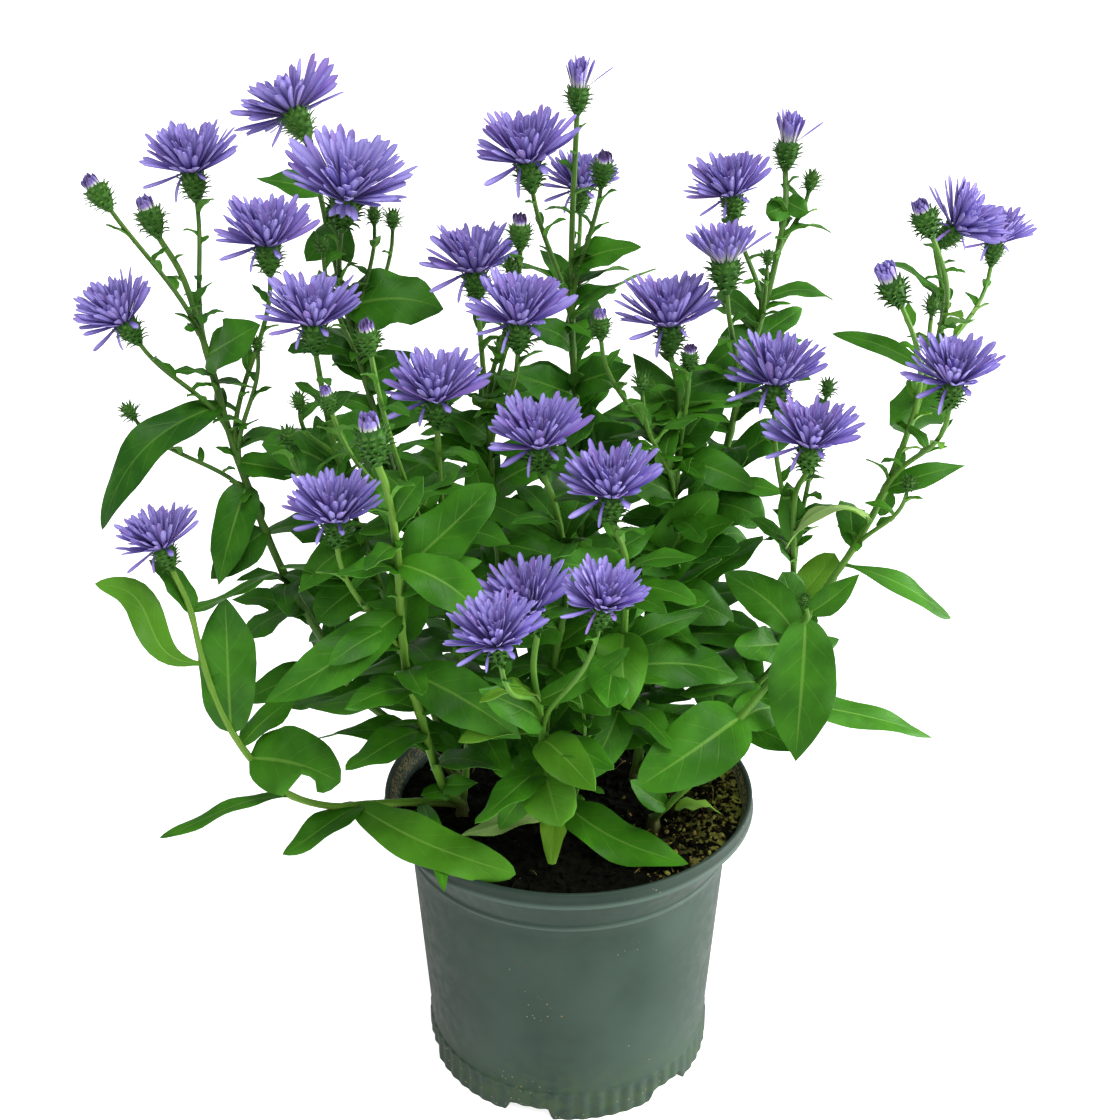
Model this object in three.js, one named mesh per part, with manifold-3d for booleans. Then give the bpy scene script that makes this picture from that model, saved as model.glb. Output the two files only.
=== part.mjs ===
// A potted autumn aster: six leafy cuttings in a ribbed nursery pot, with open and opening blooms.
// Millimetres, +Z up. The origin is the centre of the pot's base, and the front of the plant is at -Y.

import * as THREE from 'three';
import { mergeVertices } from 'three/addons/utils/BufferGeometryUtils.js';
import Module from 'manifold-3d';

const wasm = await Module();
wasm.setup();

// Driving dimensions of the pot
const potHeight = 106.5;
const rimRadius = 65;
const lipHeight = 5;
const collarHeight = 20;
const wallTopRadius = 56;
const wallFootRadius = 51.8;
const potWall = 1.6;
const edgeBevel = 0.8;
const lipOverhang = 2.4;
const lipUnderside = 1.2;
const lipInsideStep = 2;
const ribCount = 60;
const ribHeight = 11.5;
const ribDepth = 0.9;
const floorHeight = 5;
const floorThickness = 2;
const footWidth = 3.4;
const seatRadius = 9;
const seatTaper = 2;
const notchCount = 6;
const notchHeight = 4.2;
const notchWidth = 17;
const notchDepth = 16;
const notchTurn = -106;
const drainCount = 4;
const drainRadius = 4;
const drainSides = 6;
const drainCircle = 34;

// Driving dimensions of the soil and of the crowns that stand in it
const clearance = 0.3;
const soilEdgeHeight = 98.4;
const soilMiddleHeight = 100.6;
const soilSwell = 0.7;
const soilSwellCount = 3;
const soilMiddleRadius = 38;
const crownRadius = 4;
const crownFoot = 88;
const crownTop = 105.5;
const crownSides = 6;
const crownHoleDepth = 30;

// Driving dimensions of the plants
const leafThickness = 0.85;
const longLeaf = 33;
const headLength = 9;
const branchGirth = [1.1, 0.95];
const branchSides = 3;
const branchSteps = 3;
const branchBend = 0.35;
const shootSides = 5;
const goldenAngle = 137.5;
const whorlRise = { low: 0.1, high: 0.45 };
const whorlWidth = 0.36;
const whorlArch = 0.12;
const mergeTolerance = 0.06;

// Rings of a green cup, and of the tip of a closed bud: height along the head, radius, bract
const cupProfile = [[-5, 3, 1.2], [-1.8, 3.7, 1.2]];
const rimProfile = [[0, 3.4, 0]];
const budProfile = [[2.2, 2.6, 0], [4.2, 0, 0]];

const up = [0, 0, 1];
const front = [0, -1, 0.3];
const frontUp = [0, -0.7, 0.7];
const lit = [0, -0.4, 0.9];

// Each plant grows from one crown. A shoot's route runs up its middle. A head is an open bloom, an
// opening one or a bud: where its rays begin, the height at which its branch leaves the shoot, its
// lean, and its size. A shoot's first head sits on its end. A leaf is the height of its root, its
// reach to the tip, its width, the rise of its arch and the side that its upper face looks to.
const plants = [
  {
    name: 'left',
    crown: [-40, 10],
    shoots: [
      {
        route: [
          [-40, 10, 103], [-57, 8, 122], [-74, 5, 141], [-84, 1, 165], [-93, -3, 188],
          [-100, -5, 212], [-107, -2, 236], [-113, 4, 260], [-120, 11, 284],
        ],
        girth: [1.9, 1.1],
        heads: [
          { kind: 'bud', at: [-130, 15, 305], lean: [-0.3, 0, 1], size: 0.95 },
          { kind: 'bud', at: [-140, -4, 316], from: 262, lean: [-0.6, 0, 1], size: 0.85 },
          { kind: 'bloom', at: [-119, 32, 313], from: 262, lean: [-0.05, 0, 1], size: 0.98 },
          { kind: 'bloom', at: [-133, -14, 278], from: 236, lean: [-0.5, -0.15, 1], size: 0.86 },
          { kind: 'bud', at: [-136, -12, 250], from: 214, lean: [-0.5, -0.2, 1], size: 0.6 },
          { kind: 'bloom', at: [-93, 10, 295], from: 228, lean: [0, 0, 1], size: 0.98 },
          { kind: 'bud', at: [-96, -4, 269], from: 226, lean: [0, 0, 1], size: 0.5 },
        ],
        leaves: [
          [262, [20, -14, 14], 14, 4, up],
          [256, [-13, -4, 2], 5, 1, up],
          [254, [14, -5, 0], 5, 1, up],
          [247, [-35, -25, -32], 14, 10, frontUp],
          [229, [22, -3, -2], 9, 3, frontUp],
          [233, [30, 8, 1], 12, 4, up],
          [222, [-5, -14, -32], 14, 3, front],
          [206, [-17, -9, -13], 12, 3, frontUp],
          [186, [-16, -6, 4], 6, 3, up],
          [190, [16, -6, -8], 8, 3, up],
          [168, [-18, 22, 4], 12, 4, up],
          [150, [-8, 34, -4], 13, 5, up],
        ],
      },
      {
        route: [
          [-40, 10, 103], [-46, 6, 128], [-53, 0, 155], [-61, -7, 185], [-68, -13, 215],
          [-73, -18, 245],
        ],
        girth: [1.5, 1.0],
        heads: [
          { kind: 'bloom', at: [-75, -24, 280], lean: [0, 0, 1], size: 0.95 },
          { kind: 'bud', at: [-79, -36, 262], from: 232, lean: [0, -0.1, 1], size: 0.55 },
          { kind: 'bud', at: [-81, -46, 255], from: 218, lean: [0, -0.1, 1], size: 0.6 },
        ],
        leaves: [],
        whorl: { from: 132, to: 238, count: 7, turn: 20, long: 42, short: 24 },
      },
    ],
  },
  {
    name: 'front_left',
    crown: [-37, -9],
    shoots: [
      {
        route: [
          [-37, -9, 103], [-42, -18, 116], [-46, -28, 139], [-48, -38, 160], [-50, -46, 176],
          [-50, -56, 198], [-49, -66, 226], [-50, -74, 248],
        ],
        girth: [2.2, 1.4],
        heads: [
          { kind: 'bud', at: [-53, -80, 268], lean: [-0.15, 0, 1], size: 1.05 },
          { kind: 'bloom', at: [-66, -66, 236], from: 180, lean: [0, -0.05, 1], size: 0.88 },
        ],
        leaves: [
          [203, [-38, -19, -19], 14, 6, frontUp],
          [158, [-39, 16, -8], 12, 4, up],
          [152, [-36, 4, -9], 4, 2, up],
          [118, [12, -9, 7], 7, 2, frontUp],
          [112, [-9, -8, 5], 6, 2, frontUp],
          [177, [35, -8, -19], 16, 5, frontUp],
          [218, [27, 10, 24], 16, 2, frontUp],
          [222, [26, -8, -14], 13, 5, frontUp],
          [238, [9, -2, 14], 7, 1, front],
          [232, [-8, 10, 13], 6, 2, up],
          [190, [-4, 34, 10], 13, 4, up],
        ],
      },
      {
        route: [
          [-37, -9, 103], [-49, -15, 108.5], [-63, -20, 111.5], [-80, -27, 115], [-94, -32, 124],
          [-104, -34, 139], [-111, -36, 157], [-115, -36, 175], [-117, -37, 194],
        ],
        girth: [1.6, 1.0],
        heads: [
          { kind: 'bloom', at: [-124, -34, 213], lean: [-0.3, 0, 1], size: 0.82 },
        ],
        leaves: [
          [174, [-32, 4, 26], 9, -6, up],
          [150, [2, 4, 44], 16, 2, front],
          [193, [24, 16, 6], 9, -2, up],
          [192, [-14, 10, 14], 8, 2, up],
          [138, [30, -8, -4], 20, 2, frontUp],
          [143, [16, 22, 8], 10, 3, up],
          [122, [-41, -14, -7], 6, 6, up],
          [112.5, [-25, -20, -6], 11, 4, up],
          [113.5, [54, -35, 2], 14, 9, up],
          [109, [7, -46, -1], 7, 6, up],
        ],
      },
      {
        route: [
          [-37, -9, 103], [-35, -8, 122], [-34, -10, 148], [-38, -20, 188], [-39, -30, 226],
        ],
        girth: [1.6, 1.1],
        heads: [
          { kind: 'bloom', at: [-39, -36, 261], lean: [0, -0.05, 1], size: 0.95 },
          { kind: 'bud', at: [-55, -60, 289], from: 176, lean: [-0.1, -0.1, 1], size: 0.75 },
          { kind: 'bud', at: [-67, -60, 271], from: 196, lean: [-0.2, -0.1, 1], size: 0.6 },
        ],
        leaves: [
          [140, [-8, 36, 4], 14, 4, up],
          [156, [-36, -11, 6], 13, 5, up],
          [176, [14, -32, 6], 14, 4, frontUp],
          [196, [-26, 14, 8], 12, 4, up],
          [214, [21, -19, 6], 12, 3, frontUp],
          [220, [-24, -14, 2], 10, 3, up],
        ],
      },
    ],
  },
  {
    name: 'middle',
    crown: [-3, -8],
    shoots: [
      {
        route: [
          [-3, -8, 103], [-8, -13, 130], [-5, -22, 165], [-1, -28, 198], [-4, -36, 226],
        ],
        girth: [1.6, 1.1],
        heads: [
          { kind: 'bloom', at: [-9, -42, 249], lean: [-0.1, -0.1, 1], size: 0.95 },
        ],
        leaves: [],
        whorl: { from: 134, to: 228, count: 7, turn: 60, long: 46, short: 26 },
      },
      {
        route: [
          [-3, -8, 103], [8, -13, 122], [17, -20, 149], [17, -32, 180], [17, -42, 211],
        ],
        girth: [1.7, 1.1],
        heads: [
          { kind: 'bloom', at: [12, -48, 236], lean: [-0.05, -0.05, 1], size: 0.95 },
        ],
        leaves: [
          [184, [1, -24, -14], 15, 4, frontUp],
          [168, [38, 8, -8], 15, 4, frontUp],
          [119, [12, -14, 42], 8, 1, front],
          [140, [26, -24, 6], 10, 3, up],
          [206, [-22, 4, 8], 12, 3, up],
          [196, [24, -14, 8], 12, 3, up],
          [130, [32, 16, 8], 14, 5, up],
          [172, [-6, -34, 2], 14, 5, frontUp],
          [158, [-6, 40, 8], 15, 5, up],
        ],
      },
      {
        route: [
          [-3, -8, 103], [-6, -22, 118], [-8, -36, 137], [-9, -46, 160], [-11, -54, 182],
        ],
        girth: [1.7, 1.1],
        heads: [
          { kind: 'bloom', at: [-12, -60, 205], lean: [-0.3, -0.2, 1], size: 0.95 },
          { kind: 'bloom', at: [-20, -92, 211], from: 160, lean: [-0.1, -0.2, 1], size: 0.84 },
          { kind: 'bloom', at: [9, -76, 214], from: 150, lean: [0.15, -0.1, 1], size: 0.8 },
        ],
        leaves: [
          [109, [43, -30, 3], 13, 5, frontUp],
          [137, [3, -18, -20], 18, 4, front],
          [113, [-3, -25, -7], 8, 3, frontUp],
          [168, [28, 2, 18], 7, 1, frontUp],
          [134, [-15, -8, -18], 11, 3, frontUp],
          [107, [-26, -10, 1], 7, -1, up],
          [150, [16, -32, 2], 13, 4, frontUp],
        ],
      },
      {
        route: [
          [-3, -8, 103], [-12, 0, 130], [-20, 5, 162], [-24, 8, 195], [-26, 10, 232],
        ],
        girth: [1.6, 1.0],
        heads: [
          { kind: 'bloom', at: [-30, 24, 283], lean: [-0.05, 0.05, 1], size: 1 },
          { kind: 'bloom', at: [-15, -22, 280], from: 222, lean: [0.05, -0.05, 1], size: 0.98 },
          { kind: 'bud', at: [-15, 3, 303], from: 236, lean: [0, 0, 1], size: 0.8 },
          { kind: 'bud', at: [-18, 1, 292], from: 230, lean: [-0.1, -0.05, 1], size: 0.6 },
        ],
        leaves: [],
        whorl: { from: 140, to: 256, count: 8, turn: 40, long: 46, short: 26 },
      },
    ],
  },
  {
    name: 'back',
    crown: [-6, 26],
    shoots: [
      {
        route: [
          [-6, 26, 103], [0, 29, 140], [4, 33, 182], [3, 38, 222], [1, 44, 258], [1, 51, 290],
        ],
        girth: [1.9, 1.1],
        heads: [
          { kind: 'opening', at: [3, 58, 335], lean: [0.05, 0, 1], size: 0.9 },
          { kind: 'bloom', at: [4, 72, 299], from: 252, lean: [0, 0.1, 1], size: 0.86 },
          { kind: 'bud', at: [11, 42, 314], from: 262, lean: [0.1, -0.1, 1], size: 0.85 },
          { kind: 'bloom', at: [-13, 28, 317], from: 256, lean: [-0.15, -0.1, 1], size: 1.04 },
        ],
        leaves: [
          [278, [23, -6, 9], 11, 3, frontUp],
          [272, [20, 12, 3], 7, 3, up],
          [268, [-26, 8, 10], 9, 5, up],
          [250, [6, 30, 12], 11, 4, up],
        ],
        whorl: { from: 150, to: 240, count: 7, turn: 60, long: 46, short: 34 },
      },
      {
        route: [
          [-6, 26, 103], [-24, 30, 132], [-44, 33, 166], [-60, 40, 205], [-71, 47, 245],
          [-78, 53, 275],
        ],
        girth: [1.8, 1.0],
        heads: [
          { kind: 'bloom', at: [-91, 64, 326], lean: [-0.5, 0.15, 1], size: 1 },
          { kind: 'bloom', at: [-71, 32, 305], from: 256, lean: [0.1, -0.4, 1], size: 1.12 },
          { kind: 'bud', at: [-60, 66, 292], from: 240, lean: [0.05, 0, 1], size: 0.7 },
          { kind: 'bud', at: [-65, 54, 296], from: 248, lean: [0, 0, 1], size: 0.65 },
          { kind: 'bud', at: [-78, 22, 294], from: 238, lean: [0, -0.1, 1], size: 0.6 },
        ],
        leaves: [
          [288, [-26, 12, 8], 5, 2, up],
          [268, [28, 8, 6], 14, 4, frontUp],
          [274, [-14, 12, -14], 10, 4, up],
          [246, [-20, 22, 6], 12, 4, up],
        ],
        whorl: { from: 142, to: 236, count: 6, turn: 60, long: 44, short: 30 },
      },
    ],
  },
  {
    name: 'right',
    crown: [29, -18],
    shoots: [
      {
        route: [
          [29, -18, 103], [34, -25, 115], [41, -31, 128], [51, -33, 147], [64, -32, 166],
          [76, -28, 189], [90, -22, 210], [99, -18, 229], [107, -15, 257], [111, -15, 281],
        ],
        girth: [2.1, 1.2],
        heads: [
          { kind: 'bloom', at: [111, -18, 306], lean: [0.5, -0.2, 1], size: 0.95 },
          { kind: 'bloom', at: [133, 22, 290], from: 256, lean: [0.1, 0.2, 1], size: 0.84 },
          { kind: 'bud', at: [98, -37, 311], from: 272, lean: [-0.25, -0.1, 1], size: 0.8 },
          { kind: 'opening', at: [88, -40, 294], from: 240, lean: [-0.2, -0.1, 1], size: 0.62 },
          { kind: 'bud', at: [104, -30, 289], from: 256, lean: [0, -0.1, 1], size: 0.6 },
          { kind: 'bloom', at: [107, -50, 271], from: 224, lean: [0, -0.1, 1], size: 0.84 },
          { kind: 'bud', at: [101, -36, 236], from: 206, lean: [0.1, -0.1, 1], size: 0.5 },
        ],
        leaves: [
          [153, [-33, -16, -16], 21, 6, frontUp],
          [151, [15, 14, -4], 10, 3, up],
          [186, [-3, -18, -40], 20, 3, front],
          [168, [46, 16, -16], 10, 4, up],
          [203, [28, -8, -14], 10, 6, up],
          [217, [-26, -8, -6], 7, 9, up],
          [181, [-22, 16, 14], 13, 3, frontUp],
          [263, [-26, 6, 9], 7, 1, frontUp],
          [261, [-2, 7, -20], 15, 2, front],
          [232, [21, -2, 6], 8, 4, up],
          [286, [-17, 8, 6], 6, 3, up],
          [276, [12, 10, 0], 7, 2, up],
          [113, [-13, -9, 16], 6, 2, up],
          [126, [10, 24, 12], 12, 4, up],
          [208, [2, 22, 6], 9, 4, up],
        ],
      },
    ],
  },
  {
    name: 'back_right',
    crown: [24, 12],
    shoots: [
      {
        route: [
          [24, 12, 103], [32, 13, 140], [42, 15, 177], [51, 21, 217], [58, 26, 250],
          [65, 32, 275], [70, 41, 298],
        ],
        girth: [1.8, 1.1],
        heads: [
          { kind: 'opening', at: [71, 50, 319], lean: [0.05, 0, 1], size: 0.95 },
          { kind: 'bloom', at: [51, 26, 307], from: 264, lean: [-0.2, -0.05, 1], size: 0.86 },
          { kind: 'bud', at: [79, 46, 309], from: 284, lean: [0.2, 0, 1], size: 0.6 },
          { kind: 'bud', at: [62, 16, 291], from: 262, lean: [0, -0.1, 1], size: 0.5 },
          { kind: 'opening', at: [47, 0, 293], from: 234, lean: [-0.1, -0.05, 1], size: 1.1 },
        ],
        leaves: [
          [291, [17, 4, 1], 6, 3, up],
          [302, [-7, -5, -2], 7, 1, up],
          [303, [8, 4, -2], 7, 1, up],
          [262, [-22, 12, 4], 8, 4, up],
          [252, [20, 14, 4], 10, 4, up],
        ],
        whorl: { from: 140, to: 244, count: 7, turn: 60, long: 46, short: 32 },
      },
      {
        route: [
          [24, 12, 103], [27, 6, 140], [31, 1, 180], [34, 0, 215], [35, 0, 245],
        ],
        girth: [1.6, 1.1],
        heads: [
          { kind: 'bloom', at: [31, 2, 272], lean: [-0.05, 0, 1], size: 1 },
          { kind: 'bud', at: [36, -16, 269], from: 226, lean: [0, -0.1, 1], size: 0.6 },
          { kind: 'bud', at: [9, -14, 279], from: 216, lean: [-0.05, 0, 1], size: 0.7 },
          { kind: 'bud', at: [21, -30, 266], from: 210, lean: [-0.05, -0.1, 1], size: 0.6 },
        ],
        leaves: [
          [196, [19, -16, 18], 17, 3, frontUp],
          [228, [24, -8, -6], 11, 4, frontUp],
          [232, [-22, 6, 2], 11, 4, up],
          [180, [24, -4, -8], 14, 4, frontUp],
        ],
        whorl: { from: 134, to: 190, count: 4, turn: 60, long: 42, short: 36 },
      },
      {
        route: [
          [24, 12, 103], [42, 2, 128], [60, -8, 148], [72, -12, 168], [72, -14, 192],
          [70, -18, 222],
        ],
        girth: [1.5, 1.0],
        heads: [
          { kind: 'bloom', at: [71, -34, 246], lean: [0.05, -0.05, 1], size: 0.9 },
          { kind: 'bloom', at: [64, -4, 255], from: 196, lean: [0, 0.05, 1], size: 1 },
          { kind: 'bud', at: [80, -6, 256], from: 190, lean: [0.1, 0, 1], size: 0.6 },
        ],
        leaves: [
          [206, [-3, 3, 20], 8, 2, front],
          [214, [14, 4, 4], 5, 2, up],
          [198, [-14, 6, 14], 8, 3, up],
          [188, [5, -6, -16], 10, 2, front],
          [150, [16, 28, 4], 13, 4, up],
          [136, [2, 36, 2], 14, 4, up],
          [168, [-20, -19, 10], 12, 4, frontUp],
        ],
      },
    ],
  },
];

// A bloom's rays stand in four tiers on a small dome, from the lowest tier to the highest. The
// inner rays have no width of their own: they taper straight from the dome.
const bloomForms = {
  bloom: {
    raysPerTier: 7,
    domeRadii: [2.9, 3.3, 1.7],
    domeHeights: [clearance, 2.4, 4.2],
    tiers: [
      { lift: 6, length: 16, width: 4.6 },
      { lift: 29, length: 16.5, width: 4.4 },
      { lift: 52, length: 16 },
      { lift: 76, length: 15 },
    ],
    jitter: 3.5,
  },
  opening: {
    raysPerTier: 5,
    domeRadii: [2.9, 2.8, 1.5],
    domeHeights: [clearance, 1.8, 3],
    tiers: [
      { lift: 58, length: 11, width: 2.6 },
      { lift: 68, length: 12, width: 2.4 },
      { lift: 77, length: 11 },
      { lift: 85, length: 10 },
    ],
    jitter: 1.5,
  },
};
const rayThickness = 0.8;
const rayWaist = 0.62;
const reachRange = { from: 0.88, spread: 0.24 };

const materials = {
  pot: new THREE.MeshStandardMaterial({ color: '#4a5653', roughness: 0.5, metalness: 0 }),
  soil: new THREE.MeshStandardMaterial({ color: '#2b211a', roughness: 0.95, metalness: 0 }),
  leaf: new THREE.MeshStandardMaterial({ color: '#3f7d2c', roughness: 0.5, metalness: 0 }),
  petal: new THREE.MeshStandardMaterial({ color: '#6f5bc0', roughness: 0.7, metalness: 0 }),
};

// The same draws on every run
function makeRandom(seed) {
  let state = seed;
  return () => {
    state = (state * 1664525 + 1013904223) % 4294967296;
    return state / 4294967296;
  };
}

function vector(list) {
  return new THREE.Vector3(...list);
}

function shifted(point, ...steps) {
  const moved = point.clone();
  for (const [direction, distance] of steps) moved.addScaledVector(direction, distance);
  return moved;
}

// Joins two rings of points. Equal rings are joined with alternate diagonals, so that the two faces
// of a blade are split alike. A ring may also have twice as many points as its neighbour, or one.
function stitch(lower, upper) {
  const faces = [];
  const count = Math.max(lower.length, upper.length);
  if (lower.length === upper.length) {
    for (let i = 0; i < count; i += 1) {
      const next = (i + 1) % count;
      if (i % 2 === 0) {
        faces.push([lower[i], lower[next], upper[next]], [lower[i], upper[next], upper[i]]);
      } else {
        faces.push([lower[i], lower[next], upper[i]], [lower[next], upper[next], upper[i]]);
      }
    }
  } else if (upper.length === 1) {
    for (let i = 0; i < count; i += 1) faces.push([lower[i], lower[(i + 1) % count], upper[0]]);
  } else if (lower.length > 1 && upper.length > lower.length) {
    for (let i = 0; i < lower.length; i += 1) {
      const next = (i + 1) % lower.length;
      const wide = [upper[2 * i], upper[2 * i + 1], upper[(2 * i + 2) % count]];
      faces.push([lower[i], wide[1], wide[0]]);
      faces.push([lower[i], lower[next], wide[1]]);
      faces.push([lower[next], wide[2], wide[1]]);
    }
  } else {
    for (const [a, b, c] of stitch(upper, lower)) faces.push([a, c, b]);
  }
  return faces;
}

function geometryFrom(points, faces) {
  const geometry = new THREE.BufferGeometry();
  const places = points.flatMap((p) => p.toArray());
  geometry.setAttribute('position', new THREE.Float32BufferAttribute(places, 3));
  geometry.setIndex(faces.flat());
  return geometry;
}

// A closed body through rings of points, capped at a ring that is more than a point
function ringBody(rings) {
  const points = rings.flat();
  const marks = [];
  let count = 0;
  for (const ring of rings) {
    marks.push(ring.map((_, i) => count + i));
    count += ring.length;
  }
  const faces = [];
  for (let i = 0; i + 1 < marks.length; i += 1) faces.push(...stitch(marks[i], marks[i + 1]));
  const first = marks[0];
  const last = marks[marks.length - 1];
  for (let i = 1; i + 1 < first.length; i += 1) faces.push([first[0], first[i + 1], first[i]]);
  for (let i = 1; i + 1 < last.length; i += 1) faces.push([last[0], last[i], last[i + 1]]);
  return geometryFrom(points, faces);
}

function solid(geometry) {
  const bare = geometry.clone();
  bare.deleteAttribute('normal');
  bare.deleteAttribute('uv');
  const merged = mergeVertices(bare, 1e-4);
  const mesh = new wasm.Mesh({
    numProp: 3,
    vertProperties: new Float32Array(merged.attributes.position.array),
    triVerts: new Uint32Array(merged.index.array),
  });
  const body = new wasm.Manifold(mesh);
  if (body.volume() > 0) return body;
  for (let i = 0; i < mesh.triVerts.length; i += 3) mesh.triVerts.subarray(i, i + 2).reverse();
  return new wasm.Manifold(mesh);
}

function geometryOf(body) {
  const mesh = body.getMesh();
  const geometry = new THREE.BufferGeometry();
  geometry.setAttribute('position', new THREE.Float32BufferAttribute(mesh.vertProperties, 3));
  geometry.setIndex(new THREE.Uint32BufferAttribute(mesh.triVerts, 1));
  return geometry;
}

// One level ring about the vertical axis
function levelRing(count, radius, height) {
  return Array.from({ length: count }, (_, i) => {
    const turn = (2 * Math.PI * i) / count;
    const r = typeof radius === 'function' ? radius(i) : radius;
    const z = typeof height === 'function' ? height(turn) : height;
    return new THREE.Vector3(r * Math.cos(turn), r * Math.sin(turn), z);
  });
}

// The pot's inside, from the lip down to the floor: radius and height
const insideRadius = rimRadius - potWall - edgeBevel;
const insideRings = [
  [insideRadius, potHeight],
  [insideRadius - lipInsideStep, potHeight - lipHeight - lipUnderside],
  [wallTopRadius - potWall, potHeight - collarHeight],
  [wallFootRadius - potWall - edgeBevel, floorHeight + floorThickness],
];

function makePot() {
  const coarse = ribCount / 2;
  const fine = ribCount * 2;
  const ribbed = (i) => wallFootRadius - (i % 2 === 0 ? ribDepth : 0);
  const valleyRadius = wallFootRadius - ribDepth;
  const lipFoot = potHeight - lipHeight;
  const body = solid(ringBody([
    [new THREE.Vector3(0, 0, 0)],
    levelRing(coarse, seatRadius, 0),
    levelRing(coarse, seatRadius + seatTaper, floorHeight),
    levelRing(coarse, valleyRadius - footWidth, floorHeight),
    levelRing(coarse, valleyRadius - footWidth, 0),
    levelRing(ribCount, valleyRadius - edgeBevel, 0),
    levelRing(fine, ribbed, edgeBevel),
    levelRing(fine, ribbed, ribHeight),
    levelRing(ribCount, valleyRadius, ribHeight + edgeBevel),
    levelRing(ribCount, wallTopRadius, potHeight - collarHeight),
    levelRing(ribCount, rimRadius - lipOverhang, lipFoot - lipUnderside),
    levelRing(ribCount, rimRadius, lipFoot),
    levelRing(ribCount, rimRadius, potHeight),
    ...insideRings.map(([radius, height]) => levelRing(coarse, radius, height)),
    [new THREE.Vector3(0, 0, floorHeight + floorThickness)],
  ].reverse()));
  const cuts = [];
  for (let i = 0; i < notchCount; i += 1) {
    const notch = new THREE.BoxGeometry(notchDepth, notchWidth, 2 * notchHeight);
    notch.translate(wallFootRadius, 0, 0);
    notch.rotateZ(THREE.MathUtils.degToRad(notchTurn + (360 * i) / notchCount));
    cuts.push(solid(notch));
  }
  for (let i = 0; i < drainCount; i += 1) {
    const depth = 4 * floorThickness;
    const drain = new THREE.CylinderGeometry(drainRadius, drainRadius, depth, drainSides);
    drain.rotateX(Math.PI / 2);
    drain.translate(drainCircle, 0, floorHeight + floorThickness / 2);
    drain.rotateZ((2 * Math.PI * i) / drainCount);
    cuts.push(solid(drain));
  }
  return cuts.reduce((left, cut) => left.subtract(cut), body);
}

function makeSoil() {
  const columns = ribCount / 2;
  const [, collar, shoulder, foot] = insideRings;
  const swell = (turn) => soilMiddleHeight + soilSwell * Math.sin(soilSwellCount * turn);
  const edgeShare = (collar[1] - soilEdgeHeight) / (collar[1] - shoulder[1]);
  const edgeRadius = collar[0] - (collar[0] - shoulder[0]) * edgeShare;
  let body = solid(ringBody([
    [new THREE.Vector3(0, 0, foot[1] + clearance)],
    levelRing(columns, foot[0] - clearance, foot[1] + clearance),
    levelRing(columns, shoulder[0] - clearance, shoulder[1]),
    levelRing(columns, edgeRadius - clearance, soilEdgeHeight),
    levelRing(columns / 2, soilMiddleRadius, swell),
    [new THREE.Vector3(0, 0, soilMiddleHeight)],
  ]));
  for (const { crown: [x, y] } of plants) {
    const width = crownRadius + 1.5 * clearance;
    const hole = new THREE.CylinderGeometry(width, width, crownHoleDepth, crownSides);
    hole.rotateX(Math.PI / 2);
    hole.translate(x, y, crownFoot - clearance + crownHoleDepth / 2);
    body = body.subtract(solid(hole));
  }
  return body;
}

// Rings round a route, tapered from its first girth to its second
function limbRings(route, girth, sides) {
  const points = route.map(vector);
  const last = points.length - 1;
  let side = new THREE.Vector3(0, 1, 0);
  const rings = points.map((point, i) => {
    const direction = points[Math.min(i + 1, last)].clone().sub(points[Math.max(i - 1, 0)]).normalize();
    side = shifted(side, [direction, -side.dot(direction)]).normalize();
    const radius = THREE.MathUtils.lerp(girth[0], girth[1], i / last);
    return ringRound(point, direction, side, sides, () => radius);
  });
  return { rings, side };
}

function ringRound(centre, axis, side, count, radiusOf) {
  const across = new THREE.Vector3().crossVectors(axis, side);
  return Array.from({ length: count }, (_, n) => {
    const turn = (2 * Math.PI * n) / count;
    const radius = radiusOf(n);
    return shifted(centre, [side, radius * Math.cos(turn)], [across, radius * Math.sin(turn)]);
  });
}

// The place and the heading on a route at a height
function onRoute(route, height) {
  let i = 0;
  while (i + 2 < route.length && route[i + 1][2] < height) i += 1;
  const start = vector(route[i]);
  const end = vector(route[i + 1]);
  const share = THREE.MathUtils.clamp((height - start.z) / (end.z - start.z), 0, 1);
  return { place: start.clone().lerp(end, share), heading: end.clone().sub(start).normalize() };
}

// A branch leaves its shoot along the shoot's heading and ends along the head's lean
function branchRoute(place, heading, end, lean) {
  const span = end.distanceTo(place);
  const curve = new THREE.CubicBezierCurve3(
    place,
    shifted(place, [heading, branchBend * span]),
    shifted(end, [lean, -branchBend * span]),
    end,
  );
  return curve.getPoints(branchSteps).map((p) => p.toArray());
}

// A thin blade with a keel for its midrib: broadest in its lower half, with its tip a point
function leafBlade(root, [reach, width, arch, face]) {
  const length = vector(reach).length();
  const along = vector(reach).normalize();
  const look = vector(face);
  const above = shifted(look, [along, -look.dot(along)]).normalize();
  const across = new THREE.Vector3().crossVectors(above, along);
  const stations = length > longLeaf ? [[0, 0.12], [0.3, 1], [0.7, 0.82]] : [[0, 0.15], [0.45, 1]];
  const rings = stations.map(([share, breadth]) => {
    const centre = shifted(root, [along, length * share], [above, 4 * arch * share * (1 - share)]);
    const slope = shifted(along, [above, (4 * arch * (1 - 2 * share)) / length]).normalize();
    const normal = new THREE.Vector3().crossVectors(slope, across).normalize();
    const half = (width * breadth) / 2;
    return [
      shifted(centre, [across, half]),
      shifted(centre, [across, -half]),
      shifted(centre, [normal, -leafThickness]),
    ];
  });
  rings.push([shifted(root, [along, length])]);
  return solid(ringBody(rings));
}

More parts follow.
